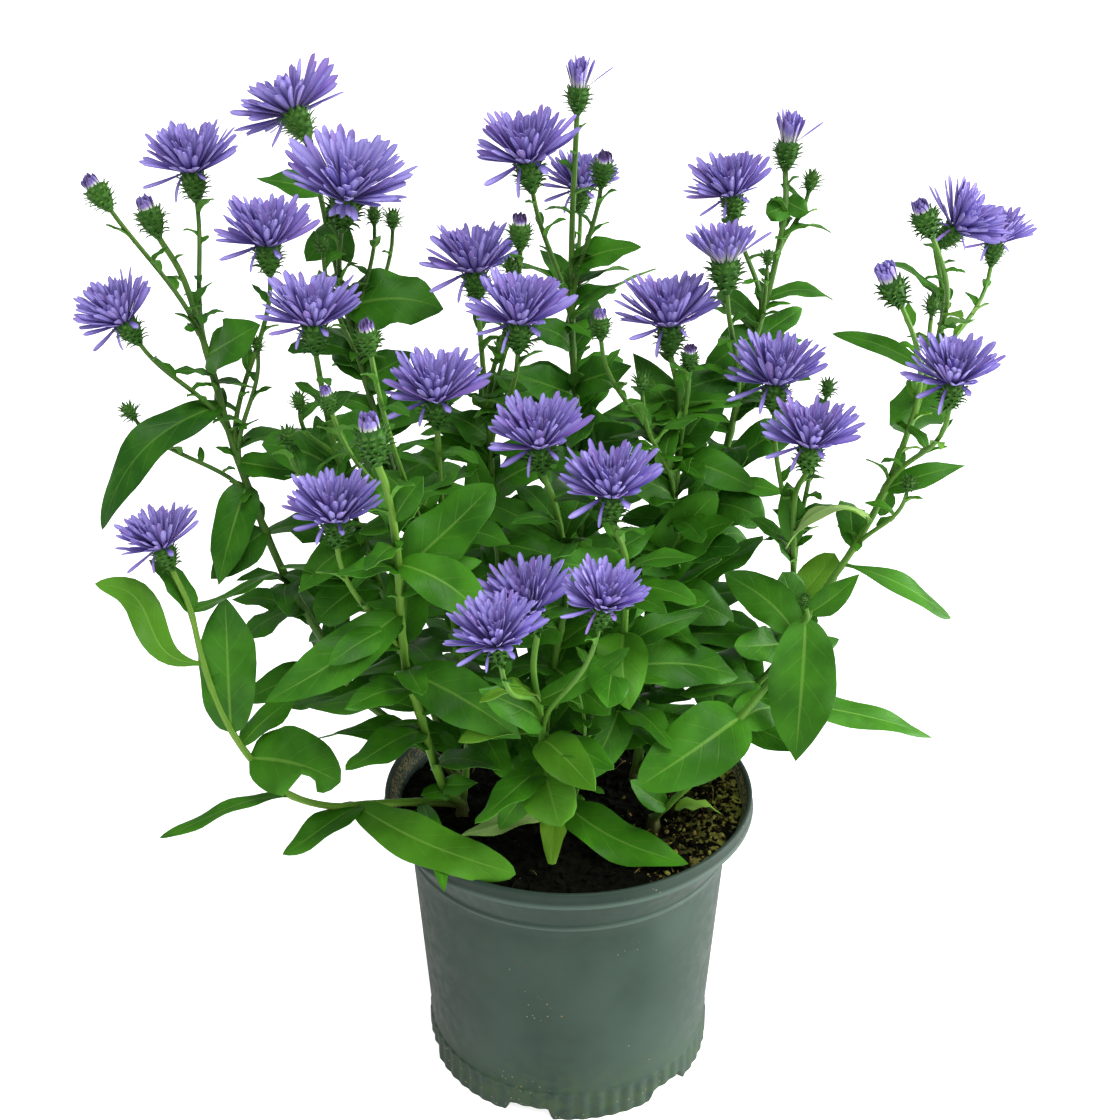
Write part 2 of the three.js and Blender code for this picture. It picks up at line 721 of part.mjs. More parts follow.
// Leaves set by rule round a shoot, each a golden angle on from the one below it
function whorlLeaves({ from, to, count, turn, long, short }) {
  return Array.from({ length: count }, (_, i) => {
    const share = i / count;
    const angle = THREE.MathUtils.degToRad(turn + goldenAngle * i);
    const length = THREE.MathUtils.lerp(long, short, share);
    const rise = THREE.MathUtils.lerp(whorlRise.low, whorlRise.high, share);
    const reach = [length * Math.cos(angle), length * Math.sin(angle), length * rise];
    const height = THREE.MathUtils.lerp(from, to, share);
    return [height, reach, whorlWidth * length, whorlArch * length, lit];
  });
}

// A shoot or branch that ends in a green cup of bracts, or in a closed bud with its pointed tip.
// Every second point of a bract ring is drawn out.
function headedLimb(route, girth, sides, columns, { kind, at, lean, size }) {
  const axis = vector(lean).normalize();
  const { rings, side } = limbRings(route, girth, sides);
  const level = shifted(side, [axis, -side.dot(axis)]).normalize();
  const profile = kind === 'bud' ? [...cupProfile, ...budProfile] : [...cupProfile, ...rimProfile];
  for (const [height, radius, bract] of profile) {
    const radiusOf = (n) => (radius + (n % 2 === 0 ? bract : 0)) * size;
    const centre = shifted(vector(at), [axis, height * size]);
    rings.push(ringRound(centre, axis, level, radius === 0 ? 1 : columns, radiusOf));
  }
  return solid(ringBody(rings));
}

// A dome whose every facet is drawn out into a ray with a keel and a point
function bloomGeometry(form, seed) {
  const random = makeRandom(seed);
  const count = form.raysPerTier;
  const points = [];
  const faces = [];
  const rings = form.domeRadii.map((radius, row) => Array.from({ length: count }, (_, i) => {
    const turn = (2 * Math.PI * (i + (row % 2) / 2)) / count;
    const place = [radius * Math.cos(turn), radius * Math.sin(turn), form.domeHeights[row]];
    return points.push(vector(place)) - 1;
  }));
  function drawRay([left, right, keel], tier, turn, keelSide) {
    const { lift, length, width } = tier;
    const swing = turn + THREE.MathUtils.degToRad(form.jitter * (2 * random() - 1));
    const rise = THREE.MathUtils.degToRad(lift + form.jitter * (2 * random() - 1));
    const reach = length * (reachRange.from + reachRange.spread * random());
    const out = new THREE.Vector3(
      Math.cos(swing) * Math.cos(rise),
      Math.sin(swing) * Math.cos(rise),
      Math.sin(rise),
    );
    const across = new THREE.Vector3(-Math.sin(swing), Math.cos(swing), 0);
    const normal = new THREE.Vector3().crossVectors(out, across);
    const root = points[left].clone().add(points[right]).add(points[keel]).divideScalar(3);
    const tip = points.push(shifted(root, [out, reach])) - 1;
    const near = [left, right, keel];
    const order = keelSide > 0 ? [0, 1, 2] : [0, 2, 1];
    if (!width) {
      for (let i = 0; i < 3; i += 1) faces.push([near[order[i]], near[order[(i + 1) % 3]], tip]);
      return;
    }
    const waist = shifted(root, [out, rayWaist * reach]);
    const far = [
      points.push(shifted(waist, [across, -width / 2])) - 1,
      points.push(shifted(waist, [across, width / 2])) - 1,
      points.push(shifted(waist, [normal, keelSide * rayThickness])) - 1,
    ];
    for (let i = 0; i < 3; i += 1) {
      const a = order[i];
      const b = order[(i + 1) % 3];
      faces.push([near[a], near[b], far[b]], [near[a], far[b], far[a]], [far[a], far[b], tip]);
    }
  }
  const step = (2 * Math.PI) / count;
  for (let row = 0; row < 2; row += 1) {
    const low = rings[row];
    const high = rings[row + 1];
    const offset = row % 2;
    for (let i = 0; i < count; i += 1) {
      const next = (i + 1) % count;
      const above = row === 0 ? i : next;
      const below = row === 0 ? next : i;
      const centre = (i + 0.5 + offset / 2) * step;
      drawRay([low[i], low[next], high[above]], form.tiers[2 * row], centre, 1);
      const shift = row === 0 ? 0.5 : -0.5;
      drawRay([high[i], high[next], low[below]], form.tiers[2 * row + 1], centre + shift * step, -1);
    }
  }
  const [bottom, , top] = rings;
  for (let i = 1; i + 1 < count; i += 1) {
    faces.push([bottom[0], bottom[i + 1], bottom[i]], [top[0], top[i], top[i + 1]]);
  }
  return geometryFrom(points, faces);
}

// One grown piece: the crown, its shoots, branches, leaves, bract cups and buds
function makePlant({ crown, shoots }) {
  const crownLength = crownTop - crownFoot;
  const stump = new THREE.CylinderGeometry(crownRadius, crownRadius, crownLength, crownSides);
  stump.rotateX(Math.PI / 2);
  stump.translate(crown[0], crown[1], (crownTop + crownFoot) / 2);
  const bodies = [solid(stump)];
  for (const { route, girth, heads, leaves, whorl } of shoots) {
    heads.forEach((head, i) => {
      const lean = vector(head.lean).normalize();
      const foot = shifted(vector(head.at), [lean, -headLength * head.size]);
      if (i === 0) {
        bodies.push(headedLimb([...route, foot.toArray()], girth, shootSides, shootSides, head));
      } else {
        const { place, heading } = onRoute(route, head.from);
        const branch = branchRoute(place, heading, foot, lean);
        bodies.push(headedLimb(branch, branchGirth, branchSides, 2 * branchSides, head));
      }
    });
    const ruled = whorl ? whorlLeaves(whorl) : [];
    for (const [height, ...shape] of [...leaves, ...ruled]) {
      bodies.push(leafBlade(onRoute(route, height).place, shape));
    }
  }
  return bodies.reduce((left, body) => left.add(body)).simplify(mergeTolerance);
}

const group = new THREE.Group();

function addMesh(name, geometry, material) {
  const mesh = new THREE.Mesh(geometry, material);
  mesh.name = name;
  group.add(mesh);
  return mesh;
}

addMesh('pot', geometryOf(makePot()), materials.pot);
addMesh('soil', geometryOf(makeSoil()), materials.soil);

const headNames = { bloom: 'bloom', opening: 'opening_bloom' };
let bloomSeed = 1;
for (const plant of plants) {
  addMesh(`plant_${plant.name}`, geometryOf(makePlant(plant)), materials.leaf);
  const open = plant.shoots.flatMap(({ heads }) => heads).filter(({ kind }) => kind !== 'bud');
  open.forEach(({ kind, at, lean, size }, i) => {
    const geometry = bloomGeometry(bloomForms[kind], bloomSeed);
    geometry.scale(size, size, size);
    geometry.translate(0, 0, clearance * (1 - size));
    const mesh = addMesh(`${headNames[kind]}_${plant.name}_${i + 1}`, geometry, materials.petal);
    mesh.position.set(...at);
    mesh.quaternion.setFromUnitVectors(vector(up), vector(lean).normalize());
    bloomSeed += 1;
  });
}

export default group;
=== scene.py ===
# A potted autumn aster in flower: six leafy cuttings in a ribbed nursery pot.
# Shapes are worked out in millimetres in the part's frame, and makePiece turns them into metres.

import math
import random

import bpy
import numpy as np
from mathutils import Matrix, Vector, noise


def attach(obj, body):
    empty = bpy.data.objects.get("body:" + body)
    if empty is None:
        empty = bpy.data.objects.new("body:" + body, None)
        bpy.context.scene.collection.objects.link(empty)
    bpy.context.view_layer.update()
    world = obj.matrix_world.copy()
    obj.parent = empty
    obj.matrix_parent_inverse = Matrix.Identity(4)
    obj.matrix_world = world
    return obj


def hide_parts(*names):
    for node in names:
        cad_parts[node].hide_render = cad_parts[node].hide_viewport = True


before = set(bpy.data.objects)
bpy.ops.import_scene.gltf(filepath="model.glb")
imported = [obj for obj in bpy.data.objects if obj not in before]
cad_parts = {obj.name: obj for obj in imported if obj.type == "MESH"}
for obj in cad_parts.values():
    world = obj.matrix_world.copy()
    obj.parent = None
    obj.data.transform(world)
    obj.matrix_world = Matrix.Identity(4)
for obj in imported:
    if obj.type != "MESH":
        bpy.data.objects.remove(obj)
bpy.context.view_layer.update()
toMetres = 0.001


def linkObject(name, data):
    thing = bpy.data.objects.new(name, data)
    bpy.context.scene.collection.objects.link(thing)
    return thing


# Camera, where the photograph was taken from
cameraSetup = {
    "place": (-3, -474.5, 414.5),
    "pitch": 25,  # degrees below the horizon
    "focalPixels": 1590,
    "framePixels": 1120,
    "sensor": 36,
    "nearest": 0.01,
}


def makeCamera(setup):
    data = bpy.data.cameras.new("photoCamera")
    data.sensor_width = setup["sensor"]
    data.lens = setup["sensor"] * setup["focalPixels"] / setup["framePixels"]
    data.clip_start = setup["nearest"]
    camera = linkObject("photoCamera", data)
    camera.location = Vector(setup["place"]) * toMetres
    camera.rotation_euler = (math.radians(90 - setup["pitch"]), 0, 0)
    bpy.context.scene.camera = camera


makeCamera(cameraSetup)
print("camera placed")


# Node helpers. An input is a number, a colour or another node's output.
def addNode(tree, kind, inputs=None, **settings):
    node = tree.nodes.new("ShaderNode" + kind)
    for name, value in settings.items():
        setattr(node, name, value)
    for name, value in (inputs or {}).items():
        if isinstance(value, bpy.types.NodeSocket):
            tree.links.new(value, node.inputs[name])
        else:
            node.inputs[name].default_value = value
    return node


def maths(tree, operation, first, second=0.0, third=0.0):
    return addNode(tree, "Math", {0: first, 1: second, 2: third}, operation=operation).outputs[0]


def plus(tree, first, second):
    return maths(tree, "ADD", first, second)


def times(tree, first, second):
    return maths(tree, "MULTIPLY", first, second)


def timesPlus(tree, first, second, third):
    return maths(tree, "MULTIPLY_ADD", first, second, third)


# Rises from 0 at low to 1 at high, and falls where low is the larger
def smoothStep(tree, value, low, high):
    inputs = {"Value": value, "From Min": low, "From Max": high}
    return addNode(tree, "MapRange", inputs, interpolation_type="SMOOTHSTEP").outputs[0]


def mixColour(tree, share, first, second):
    ends = [c if isinstance(c, bpy.types.NodeSocket) else (*c, 1) for c in (first, second)]
    inputs = {0: share, 6: ends[0], 7: ends[1]}
    return addNode(tree, "Mix", inputs, data_type="RGBA").outputs[2]


# Lays colours of a finish over a first one, each by a mask and a strength
def layColours(tree, finish, colour, *layers):
    for name, mask, strength in layers:
        colour = mixColour(tree, times(tree, mask, strength), colour, finish[name])
    return colour


def attribute(tree, name):
    return addNode(tree, "Attribute", attribute_name=name).outputs["Fac"]


def parts(tree, place):
    return addNode(tree, "SeparateXYZ", {0: place}).outputs


def uvParts(tree):
    return parts(tree, addNode(tree, "UVMap", uv_map="UVMap").outputs["UV"])[:2]


def objectPlace(tree):
    return addNode(tree, "TexCoord").outputs["Object"]


def makeGroup(name, inputs, output, kind="NodeSocketFloat"):
    tree = bpy.data.node_groups.new(name, "ShaderNodeTree")
    for label, value in inputs.items():
        socket = tree.interface.new_socket(name=label, in_out="INPUT", socket_type="NodeSocketFloat")
        socket.default_value = value
    tree.interface.new_socket(name=output, in_out="OUTPUT", socket_type=kind)
    return tree, tree.nodes.new("NodeGroupInput").outputs, tree.nodes.new("NodeGroupOutput").inputs[0]


def useGroup(tree, group, **inputs):
    return addNode(tree, "Group", inputs, node_tree=group).outputs[0]


# Slow drift of tone over a surface, from 0 to 1
def makeToneDrift():
    tree, given, result = makeGroup("toneDrift", {"Scale": 60, "Detail": 3}, "Mask")
    inputs = {"Vector": objectPlace(tree), "Scale": given["Scale"], "Detail": given["Detail"]}
    cloud = addNode(tree, "TexNoise", inputs).outputs["Fac"]
    tree.links.new(smoothStep(tree, cloud, 0.32, 0.68), result)
    return tree


# Streaks that run along a stem, bract or ray, from 0 to 1
def makeStreaks():
    inputs = {"Along": 0, "Across": 0, "Count": 6, "Stretch": 1.5, "Seed": 0}
    tree, given, result = makeGroup("lengthStreaks", inputs, "Mask")
    place = addNode(tree, "CombineXYZ", {
        "X": times(tree, given["Across"], given["Count"]),
        "Y": times(tree, given["Along"], given["Stretch"]),
        "Z": times(tree, given["Seed"], 37),
    }).outputs[0]
    streak = addNode(tree, "TexNoise", {"Vector": place, "Scale": 1, "Detail": 1}).outputs["Fac"]
    tree.links.new(smoothStep(tree, streak, 0.35, 0.65), result)
    return tree


# Small scattered specks in patches, 1 on a speck
def makeSpecks():
    inputs = {"Scale": 300, "Size": 0.12, "Cover": 0.5}
    tree, given, result = makeGroup("scatteredSpecks", inputs, "Mask")
    place = objectPlace(tree)
    cells = addNode(tree, "TexVoronoi", {"Vector": place, "Scale": given["Scale"]}).outputs["Distance"]
    patch = addNode(tree, "TexNoise", {"Vector": place, "Scale": 45, "Detail": 1}).outputs["Fac"]
    inside = maths(tree, "LESS_THAN", cells, given["Size"])
    shown = maths(tree, "LESS_THAN", patch, given["Cover"])
    tree.links.new(times(tree, inside, shown), result)
    return tree


# Fine relief as a normal
def makeFineRelief():
    inputs = {"Scale": 900, "Strength": 0.3, "Distance": 0.0002, "Height": 0}
    tree, given, result = makeGroup("fineRelief", inputs, "Normal", "NodeSocketVector")
    grain = addNode(tree, "TexNoise", {"Vector": objectPlace(tree), "Scale": given["Scale"], "Detail": 2})
    height = plus(tree, grain.outputs["Fac"], given["Height"])
    bump = {"Strength": given["Strength"], "Distance": given["Distance"], "Height": height}
    tree.links.new(addNode(tree, "Bump", bump).outputs[0], result)
    return tree


toneDrift = makeToneDrift()
lengthStreaks = makeStreaks()
scatteredSpecks = makeSpecks()
fineRelief = makeFineRelief()


def newMaterial(name, fixed):
    material = bpy.data.materials.new(name)
    material.use_nodes = True
    shader = material.node_tree.nodes["Principled BSDF"]
    for label, value in fixed.items():
        shader.inputs[label].default_value = value
    return material, material.node_tree, shader


def feed(tree, shader, **sources):
    for label, source in sources.items():
        tree.links.new(source, shader.inputs[label.replace("_", " ")])


# Last steps of a material: masks change its roughness, and fine relief gives its normal
def finishSurface(tree, shader, colour, roughness, rougher, **relief):
    for mask, share in rougher:
        roughness = plus(tree, roughness, times(tree, mask, share))
    normal = useGroup(tree, fineRelief, **relief)
    feed(tree, shader, Base_Color=colour, Roughness=roughness, Normal=normal)


# Leaves: satin green with a pale rib, sunken side veins and a paler underside
leafFinish = {
    "deep": (0.013, 0.075, 0.004),
    "fresh": (0.052, 0.215, 0.008),
    "young": (0.21, 0.42, 0.035),
    "under": (0.095, 0.25, 0.035),
    "pale": (0.30, 0.47, 0.14),
    "rib": (0.20, 0.40, 0.06),
    "veinPairs": 7,
    "veinSlant": 1.5,
    "ribWidth": 0.105,
    "ribTaper": 0.72,
}


def makeLeafMaterial(finish):
    material, tree, shader = newMaterial("asterLeaf", {"Specular IOR Level": 0.13})
    along, across = uvParts(tree)
    tone, under = attribute(tree, "tone"), attribute(tree, "under")
    offset = maths(tree, "ABSOLUTE", timesPlus(tree, across, 2.0, -1.0))
    taper = timesPlus(tree, along, -finish["ribTaper"] * finish["ribWidth"], finish["ribWidth"])
    rib = smoothStep(tree, maths(tree, "DIVIDE", offset, taper), 1.0, 0.35)
    slant = times(tree, offset, finish["veinSlant"])
    phase = maths(tree, "SUBTRACT", times(tree, along, finish["veinPairs"]), slant)
    vein = smoothStep(tree, maths(tree, "PINGPONG", phase, 0.5), 0.09, 0.0)
    vein = times(tree, vein, smoothStep(tree, offset, 0.95, 0.45))
    drift = useGroup(tree, toneDrift, Scale=85, Detail=4)
    fresh = plus(tree, times(tree, drift, 0.45), times(tree, tone, 0.6))
    young = smoothStep(tree, tone, 0.72, 1.1)
    green = layColours(
        tree, finish, finish["deep"], ("fresh", fresh, 1), ("young", young, 1), ("rib", vein, 0.08))
    pale = smoothStep(tree, tone, 0.72, 1.0)
    below = layColours(tree, finish, finish["under"], ("fresh", drift, 0.3), ("pale", pale, 1))
    green = mixColour(tree, under, green, below)
    ribShare = times(tree, timesPlus(tree, tone, 0.3, 0.32), timesPlus(tree, along, -0.4, 1.0))
    green = layColours(tree, finish, green, ("rib", rib, ribShare))
    sunken = plus(tree, times(tree, vein, -0.9), times(tree, rib, -1.3))
    rougher = ((under, 0.2), (drift, 0.1))
    relief = {"Scale": 1400, "Strength": 0.35, "Distance": 0.00025, "Height": sunken}
    finishSurface(tree, shader, green, 0.40, rougher, **relief)
    return material


# Stems: ridged green, yellower where tone is high and brown near the soil
stemFinish = {
    "dark": (0.035, 0.095, 0.013),
    "green": (0.085, 0.225, 0.024),
    "yellow": (0.225, 0.40, 0.038),
    "woody": (0.075, 0.062, 0.022),
    "woodyHeight": (0.114, 0.101),  # metres
}


def makeStemMaterial(finish):
    material, tree, shader = newMaterial("asterStem", {"Specular IOR Level": 0.22})
    along, around = uvParts(tree)
    tone = attribute(tree, "tone")
    ridge = useGroup(tree, lengthStreaks, Along=along, Across=around, Count=9, Stretch=0.05)
    drift = useGroup(tree, toneDrift, Scale=110, Detail=2)
    woody = smoothStep(tree, parts(tree, objectPlace(tree))[2], *finish["woodyHeight"])
    green = layColours(
        tree, finish, finish["dark"], ("green", smoothStep(tree, tone, 0.0, 0.5), 1),
        ("yellow", smoothStep(tree, tone, 0.5, 1.0), 1), ("dark", ridge, 0.35), ("yellow", drift, 0.14),
        ("woody", woody, 0.8))
    relief = {"Scale": 1100, "Strength": 0.5, "Distance": 0.0003, "Height": ridge}
    finishSurface(tree, shader, green, 0.42, [(ridge, 0.14)], **relief)
    return material


# Bracts of cups and buds: dark green, paler at the root of each
bractFinish = {"root": (0.12, 0.25, 0.04), "tip": (0.018, 0.080, 0.009), "light": (0.06, 0.18, 0.018)}


def makeBractMaterial(finish):
    material, tree, shader = newMaterial("asterBract", {"Specular IOR Level": 0.15})
    along, across = uvParts(tree)
    tone = attribute(tree, "tone")
    streak = useGroup(tree, lengthStreaks, Along=along, Across=across, Count=4, Seed=tone)
    toTip = smoothStep(tree, along, 0.05, 0.7)
    green = layColours(
        tree, finish, finish["root"], ("tip", toTip, 1), ("light", tone, 0.55), ("tip", streak, 0.3))
    relief = {"Scale": 1600, "Strength": 0.3, "Distance": 0.0002, "Height": streak}
    finishSurface(tree, shader, green, 0.48, [(streak, 0.12)], **relief)
    return material


# Rays: violet-blue with lavender streaks, painted shade towards each root and a painted highlight along the
# middle. Young ones are white at the root, and below zero young fades.
rayFinish = {
    # colour of the painted shade at the rays' roots
    "deep": (0.080, 0.045, 0.29),
    "violet": (0.165, 0.115, 0.46),
    "lavender": (0.43, 0.38, 0.82),
    "mauve": (0.27, 0.15, 0.50),
    "white": (0.70, 0.72, 0.60),
    "closed": (0.055, 0.022, 0.11),
}


def makeRayMaterial(finish):
    fixed = {"Specular IOR Level": 0.25, "Sheen Weight": 0.15, "Sheen Roughness": 0.5}
    material, tree, shader = newMaterial("asterRay", fixed)
    along, across = uvParts(tree)
    tone, young = attribute(tree, "tone"), attribute(tree, "young")
    streaks = {"Along": along, "Across": across, "Count": 5, "Stretch": 0.9, "Seed": tone}
    streak = useGroup(tree, lengthStreaks, **streaks)
    broad = useGroup(tree, lengthStreaks, **{**streaks, "Count": 1.6, "Stretch": 1.6})
    # painted shade: darker towards each ray's root, where the rays crowd together; the lavender share also
    # grows towards the tip
    rise = smoothStep(tree, along, 0.0, 0.75)
    offset = maths(tree, "ABSOLUTE", timesPlus(tree, across, 2.0, -1.0))
    # painted highlight: lighter along the middle of each ray
    middle = smoothStep(tree, maths(tree, "SUBTRACT", 1.0, offset), 0.1, 0.9)
    lights = timesPlus(tree, streak, 0.5, timesPlus(tree, broad, 0.5, middle))
    light = times(tree, lights, times(tree, rise, 0.45))
    light = timesPlus(tree, smoothStep(tree, young, 0.0, -0.5), 0.28, light)
    pale = times(tree, smoothStep(tree, along, 0.5, 0.06), smoothStep(tree, young, 0.0, 0.5))
    tip = times(tree, smoothStep(tree, along, 0.3, 0.65), smoothStep(tree, young, 0.55, 0.95))
    violet = layColours(
        tree, finish, finish["deep"], ("violet", rise, 1), ("lavender", light, 1),
        ("mauve", smoothStep(tree, tone, 0.6, 1.0), 0.6), ("white", pale, 1), ("closed", tip, 1))
    relief = {"Scale": 1800, "Strength": 0.35, "Distance": 0.0002, "Height": streak}
    finishSurface(tree, shader, violet, 0.52, [(broad, 0.14)], **relief)
    return material


# Pot: satin grey-green plastic with dust, soil splashes and a faint green stain low down, with painted shade
# and painted highlights.
# Heights and places are in metres here, as the material measures them.
potFinish = {
    "plastic": (0.015, 0.036, 0.024),
    # colour of wear and tone drift, also used for the painted highlights on the beads and the right side
    "wearAndHighlight": (0.070, 0.108, 0.086),
    # colour of the painted shade at the grazing edges and on the left side
    "shade": (0.005, 0.014, 0.009),
    # colour of the painted shade on the top of the lip
    "dirt": (0.060, 0.055, 0.028),
    "lipShade": (0.008, 0.016, 0.011),
    "grit": (0.30, 0.24, 0.10),
    "stain": (0.055, 0.095, 0.030),
    "stainTop": 0.034,
    "beads": (0.1014, 0.0868),  # heights of the beads, along whose edges a highlight is painted
    "beadReach": (0.0017, 0.0004),
    "lipHeight": (0.1018, 0.1026),
    "insideRadius": 0.06255,
    "insideFrom": 0.0998,
    # x range of the painted light on the right side
    "litSide": (0.015, 0.052),
    # x range of the painted shade on the left side
    "shadedSide": (-0.02, -0.05),
    "splashSide": (0.02, 0.05),
    "leftSplash": 0.65,
}


def makePotMaterial(finish):
    material, tree, shader = newMaterial("nurseryPlastic", {"Specular IOR Level": 0.2})
    drift = useGroup(tree, toneDrift, Scale=28, Detail=5)
    fine = useGroup(tree, toneDrift, Scale=240, Detail=4)
    crumbs = useGroup(tree, toneDrift, Scale=900, Detail=3)
    x, y, height = parts(tree, objectPlace(tree))
    low = smoothStep(tree, height, finish["stainTop"], 0.0)
    edge = addNode(tree, "NewGeometry").outputs["Pointiness"]
    wearAndHighlight = times(tree, smoothStep(tree, edge, 0.52, 0.62), 0.5)
    # painted highlights: a pale line along each bead, where its rounded edge would catch the light; the
    # pointiness mask above is real edge wear
    for bead in finish["beads"]:
        away = maths(tree, "ABSOLUTE", maths(tree, "SUBTRACT", height, bead))
        beadHighlight = times(tree, smoothStep(tree, away, *finish["beadReach"]), 0.95)
        wearAndHighlight = maths(tree, "MAXIMUM", wearAndHighlight, beadHighlight)
    # Facing mask for the painted shade that darkens the pot where it turns away towards its outline
    slant = addNode(tree, "LayerWeight", {"Blend": 0.3}).outputs["Facing"]
    radius = maths(tree, "SQRT", timesPlus(tree, x, x, times(tree, y, y)))
    inside = maths(tree, "LESS_THAN", radius, finish["insideRadius"])
    inside = times(tree, inside, maths(tree, "GREATER_THAN", height, finish["insideFrom"]))
    toSide = maths(tree, "MAXIMUM", x, times(tree, x, -finish["leftSplash"]))
    splash = times(tree, smoothStep(tree, toSide, *finish["splashSide"]), inside)
    splash = times(tree, splash, smoothStep(tree, crumbs, 0.3, 0.8))
    cover = plus(tree, 0.36, times(tree, low, 0.2))
    specks = useGroup(tree, scatteredSpecks, Scale=330, Size=0.16, Cover=cover)
    grit = useGroup(tree, scatteredSpecks, Scale=410, Size=0.12, Cover=cover)
    colour = layColours(
        tree, finish, finish["plastic"], ("wearAndHighlight", drift, 0.35), ("wearAndHighlight", fine, 0.10),
        ("stain", times(tree, low, fine), 0.5), ("wearAndHighlight", wearAndHighlight, 1),
        # painted shade at the grazing edges
        ("shade", smoothStep(tree, slant, 0.3, 0.95), 0.8),
        # painted light: the right side is lighter, as if lit from the right
        ("wearAndHighlight", smoothStep(tree, x, *finish["litSide"]), 0.2),
        # painted shade: the left side is darker, away from the light
        ("shade", smoothStep(tree, x, *finish["shadedSide"]), 0.4),
        # painted shade: the top of the lip is darker
        ("lipShade", smoothStep(tree, height, *finish["lipHeight"]), 0.35),
        ("grit", splash, 0.8), ("dirt", specks, 0.75), ("grit", grit, 0.6))
    raised = times(tree, specks, 2.0)
    relief = {"Scale": 2200, "Strength": 0.12, "Distance": 0.00012, "Height": raised}
    finishSurface(tree, shader, colour, 0.46, ((fine, 0.12), (drift, 0.08)), **relief)
    return material


# Soil: near-black peat with bark, straw-coloured bits and a little moss
soilFinish = {
    "peat": (0.0010, 0.0014, 0.0005),
    "bark": (0.0045, 0.0042, 0.0016),
    "straw": (0.20, 0.145, 0.045),
    "moss": (0.29, 0.285, 0.06),
}


def makeSoilMaterial(finish):
    material, tree, shader = newMaterial("pottingSoil", {"Specular IOR Level": 0.06})
    drift = useGroup(tree, toneDrift, Scale=420, Detail=4)
    straw = smoothStep(tree, attribute(tree, "tone"), 0.78, 1.0)
    moss = times(tree, attribute(tree, "moss"), smoothStep(tree, drift, 0.3, 0.8))
    colour = layColours(
        tree, finish, finish["peat"], ("bark", drift, 1), ("straw", straw, 1), ("moss", moss, 1))
    finishSurface(tree, shader, colour, 0.95, [(drift, -0.15)], Scale=1200, Strength=0.8, Distance=0.0006)
    return material


leafMaterial = makeLeafMaterial(leafFinish)
stemMaterial = makeStemMaterial(stemFinish)
bractMaterial = makeBractMaterial(bractFinish)
rayMaterial = makeRayMaterial(rayFinish)
potMaterial = makePotMaterial(potFinish)
soilMaterial = makeSoilMaterial(soilFinish)
print("materials made")


# Mesh drafts. A draft gathers points, faces, UVs and the marks that its material reads.
def newDraft(*marks):
    return {"points": [], "faces": [], "uv": [], "count": 0, "marks": {name: [] for name in marks}}


def addPoints(draft, points, marks):
    flat = points.reshape(-1, 3)
    index = np.arange(len(flat)) + draft["count"]
    draft["points"].append(flat)
    draft["count"] += len(flat)
    for name, values in draft["marks"].items():
        values.append(np.broadcast_to(np.asarray(marks.get(name, 0.0), float).reshape(-1), len(flat)))
    return index.reshape(points.shape[:-1])


def addFaces(draft, faces, uv):
    draft["faces"].append(faces.reshape(-1, faces.shape[-1]))
    draft["uv"].append(uv.reshape(-1, 2))


def unit(vector):
    return vector / np.maximum(np.linalg.norm(vector, axis=-1, keepdims=True), 1e-12)


def lerp(start, end, share):
    return start + (end - start) * share


def smooth(value, low, high):
    share = np.clip((value - low) / (high - low), 0, 1)
    return share * share * (3 - 2 * share)


def fullTurn(count):
    return np.arange(count) * 2 * math.pi / count


def ringAt(turn, radius, height):
    return np.stack([radius * np.cos(turn), radius * np.sin(turn), height + np.zeros(len(turn))], -1)


def pointing(turn, rise, length):
    return unit(np.array([math.cos(turn), math.sin(turn), rise])) * length


def distances(path):
    return np.concatenate([[0], np.cumsum(np.linalg.norm(np.diff(path, axis=0), axis=1))])


# A thin closed blade round a centre line. The columns run from -1 to 1 across it, the lift raises
# each point above the centre line, and the pull draws it back from the tip.
def addBlade(draft, centre, across, half, columns, lift, depth, marks, underMarks=None, pull=None):
    tangent = unit(np.gradient(centre, axis=0))
    side = unit(across - tangent * np.sum(across * tangent, axis=1, keepdims=True))
    normal = np.cross(tangent, side)[:, None]
    wide = (half if half.ndim == 2 else half[:, None]) * columns
    top = centre[:, None] + side[:, None] * wide[..., None] + normal * lift[..., None]
    if pull is not None:
        top = top - tangent[:, None] * pull[..., None]
    rows, count = top.shape[:2]
    upper = addPoints(draft, top, marks)
    lower = addPoints(draft, top - normal * depth[..., None], underMarks or marks)
    along = np.linspace(0, 1, rows)
    uv = np.stack(np.meshgrid(along, (np.asarray(columns) + 1) / 2, indexing="ij"), -1)
    order = [(0, 0), (1, 0), (1, 1), (0, 1)]
    backward = order[:1] + order[:0:-1]  # so that both sheets split along one diagonal
    for grid, turns in ((upper, order), (lower, backward)):
        faces, places = [[g[a:rows - 1 + a, b:count - 1 + b] for a, b in turns] for g in (grid, uv)]
        addFaces(draft, np.stack(faces, -1), np.stack(places, -2))
    rim = [(i, 0) for i in range(rows)] + [(rows - 1, j) for j in range(1, count)]
    rim += [(i, count - 1) for i in range(rows - 2, -1, -1)] + [(0, j) for j in range(count - 2, 0, -1)]
    pairs = list(zip(rim, rim[1:] + rim[:1]))
    faces = [[upper[b], upper[a], lower[a], lower[b]] for a, b in pairs]
    addFaces(draft, np.array(faces), np.array([[uv[b], uv[a], uv[a], uv[b]] for a, b in pairs]))


# Quads between rings of points. Their UVs run by the heights along them and once round.
def joinRings(draft, grid, heights=None):
    after = np.roll(grid, -1, axis=1)
    faces = np.stack([grid[:-1], after[:-1], after[1:], grid[1:]], -1)
    uv = np.zeros((*faces.shape, 2))
    if heights is not None:
        count = grid.shape[1]
        low = np.stack(np.meshgrid(heights, np.arange(count) / count, indexing="ij"), -1)
        high = low + np.array([0, 1 / count])
        uv = np.stack([low[:-1], high[:-1], high[1:], low[1:]], -2)
    addFaces(draft, faces, uv)


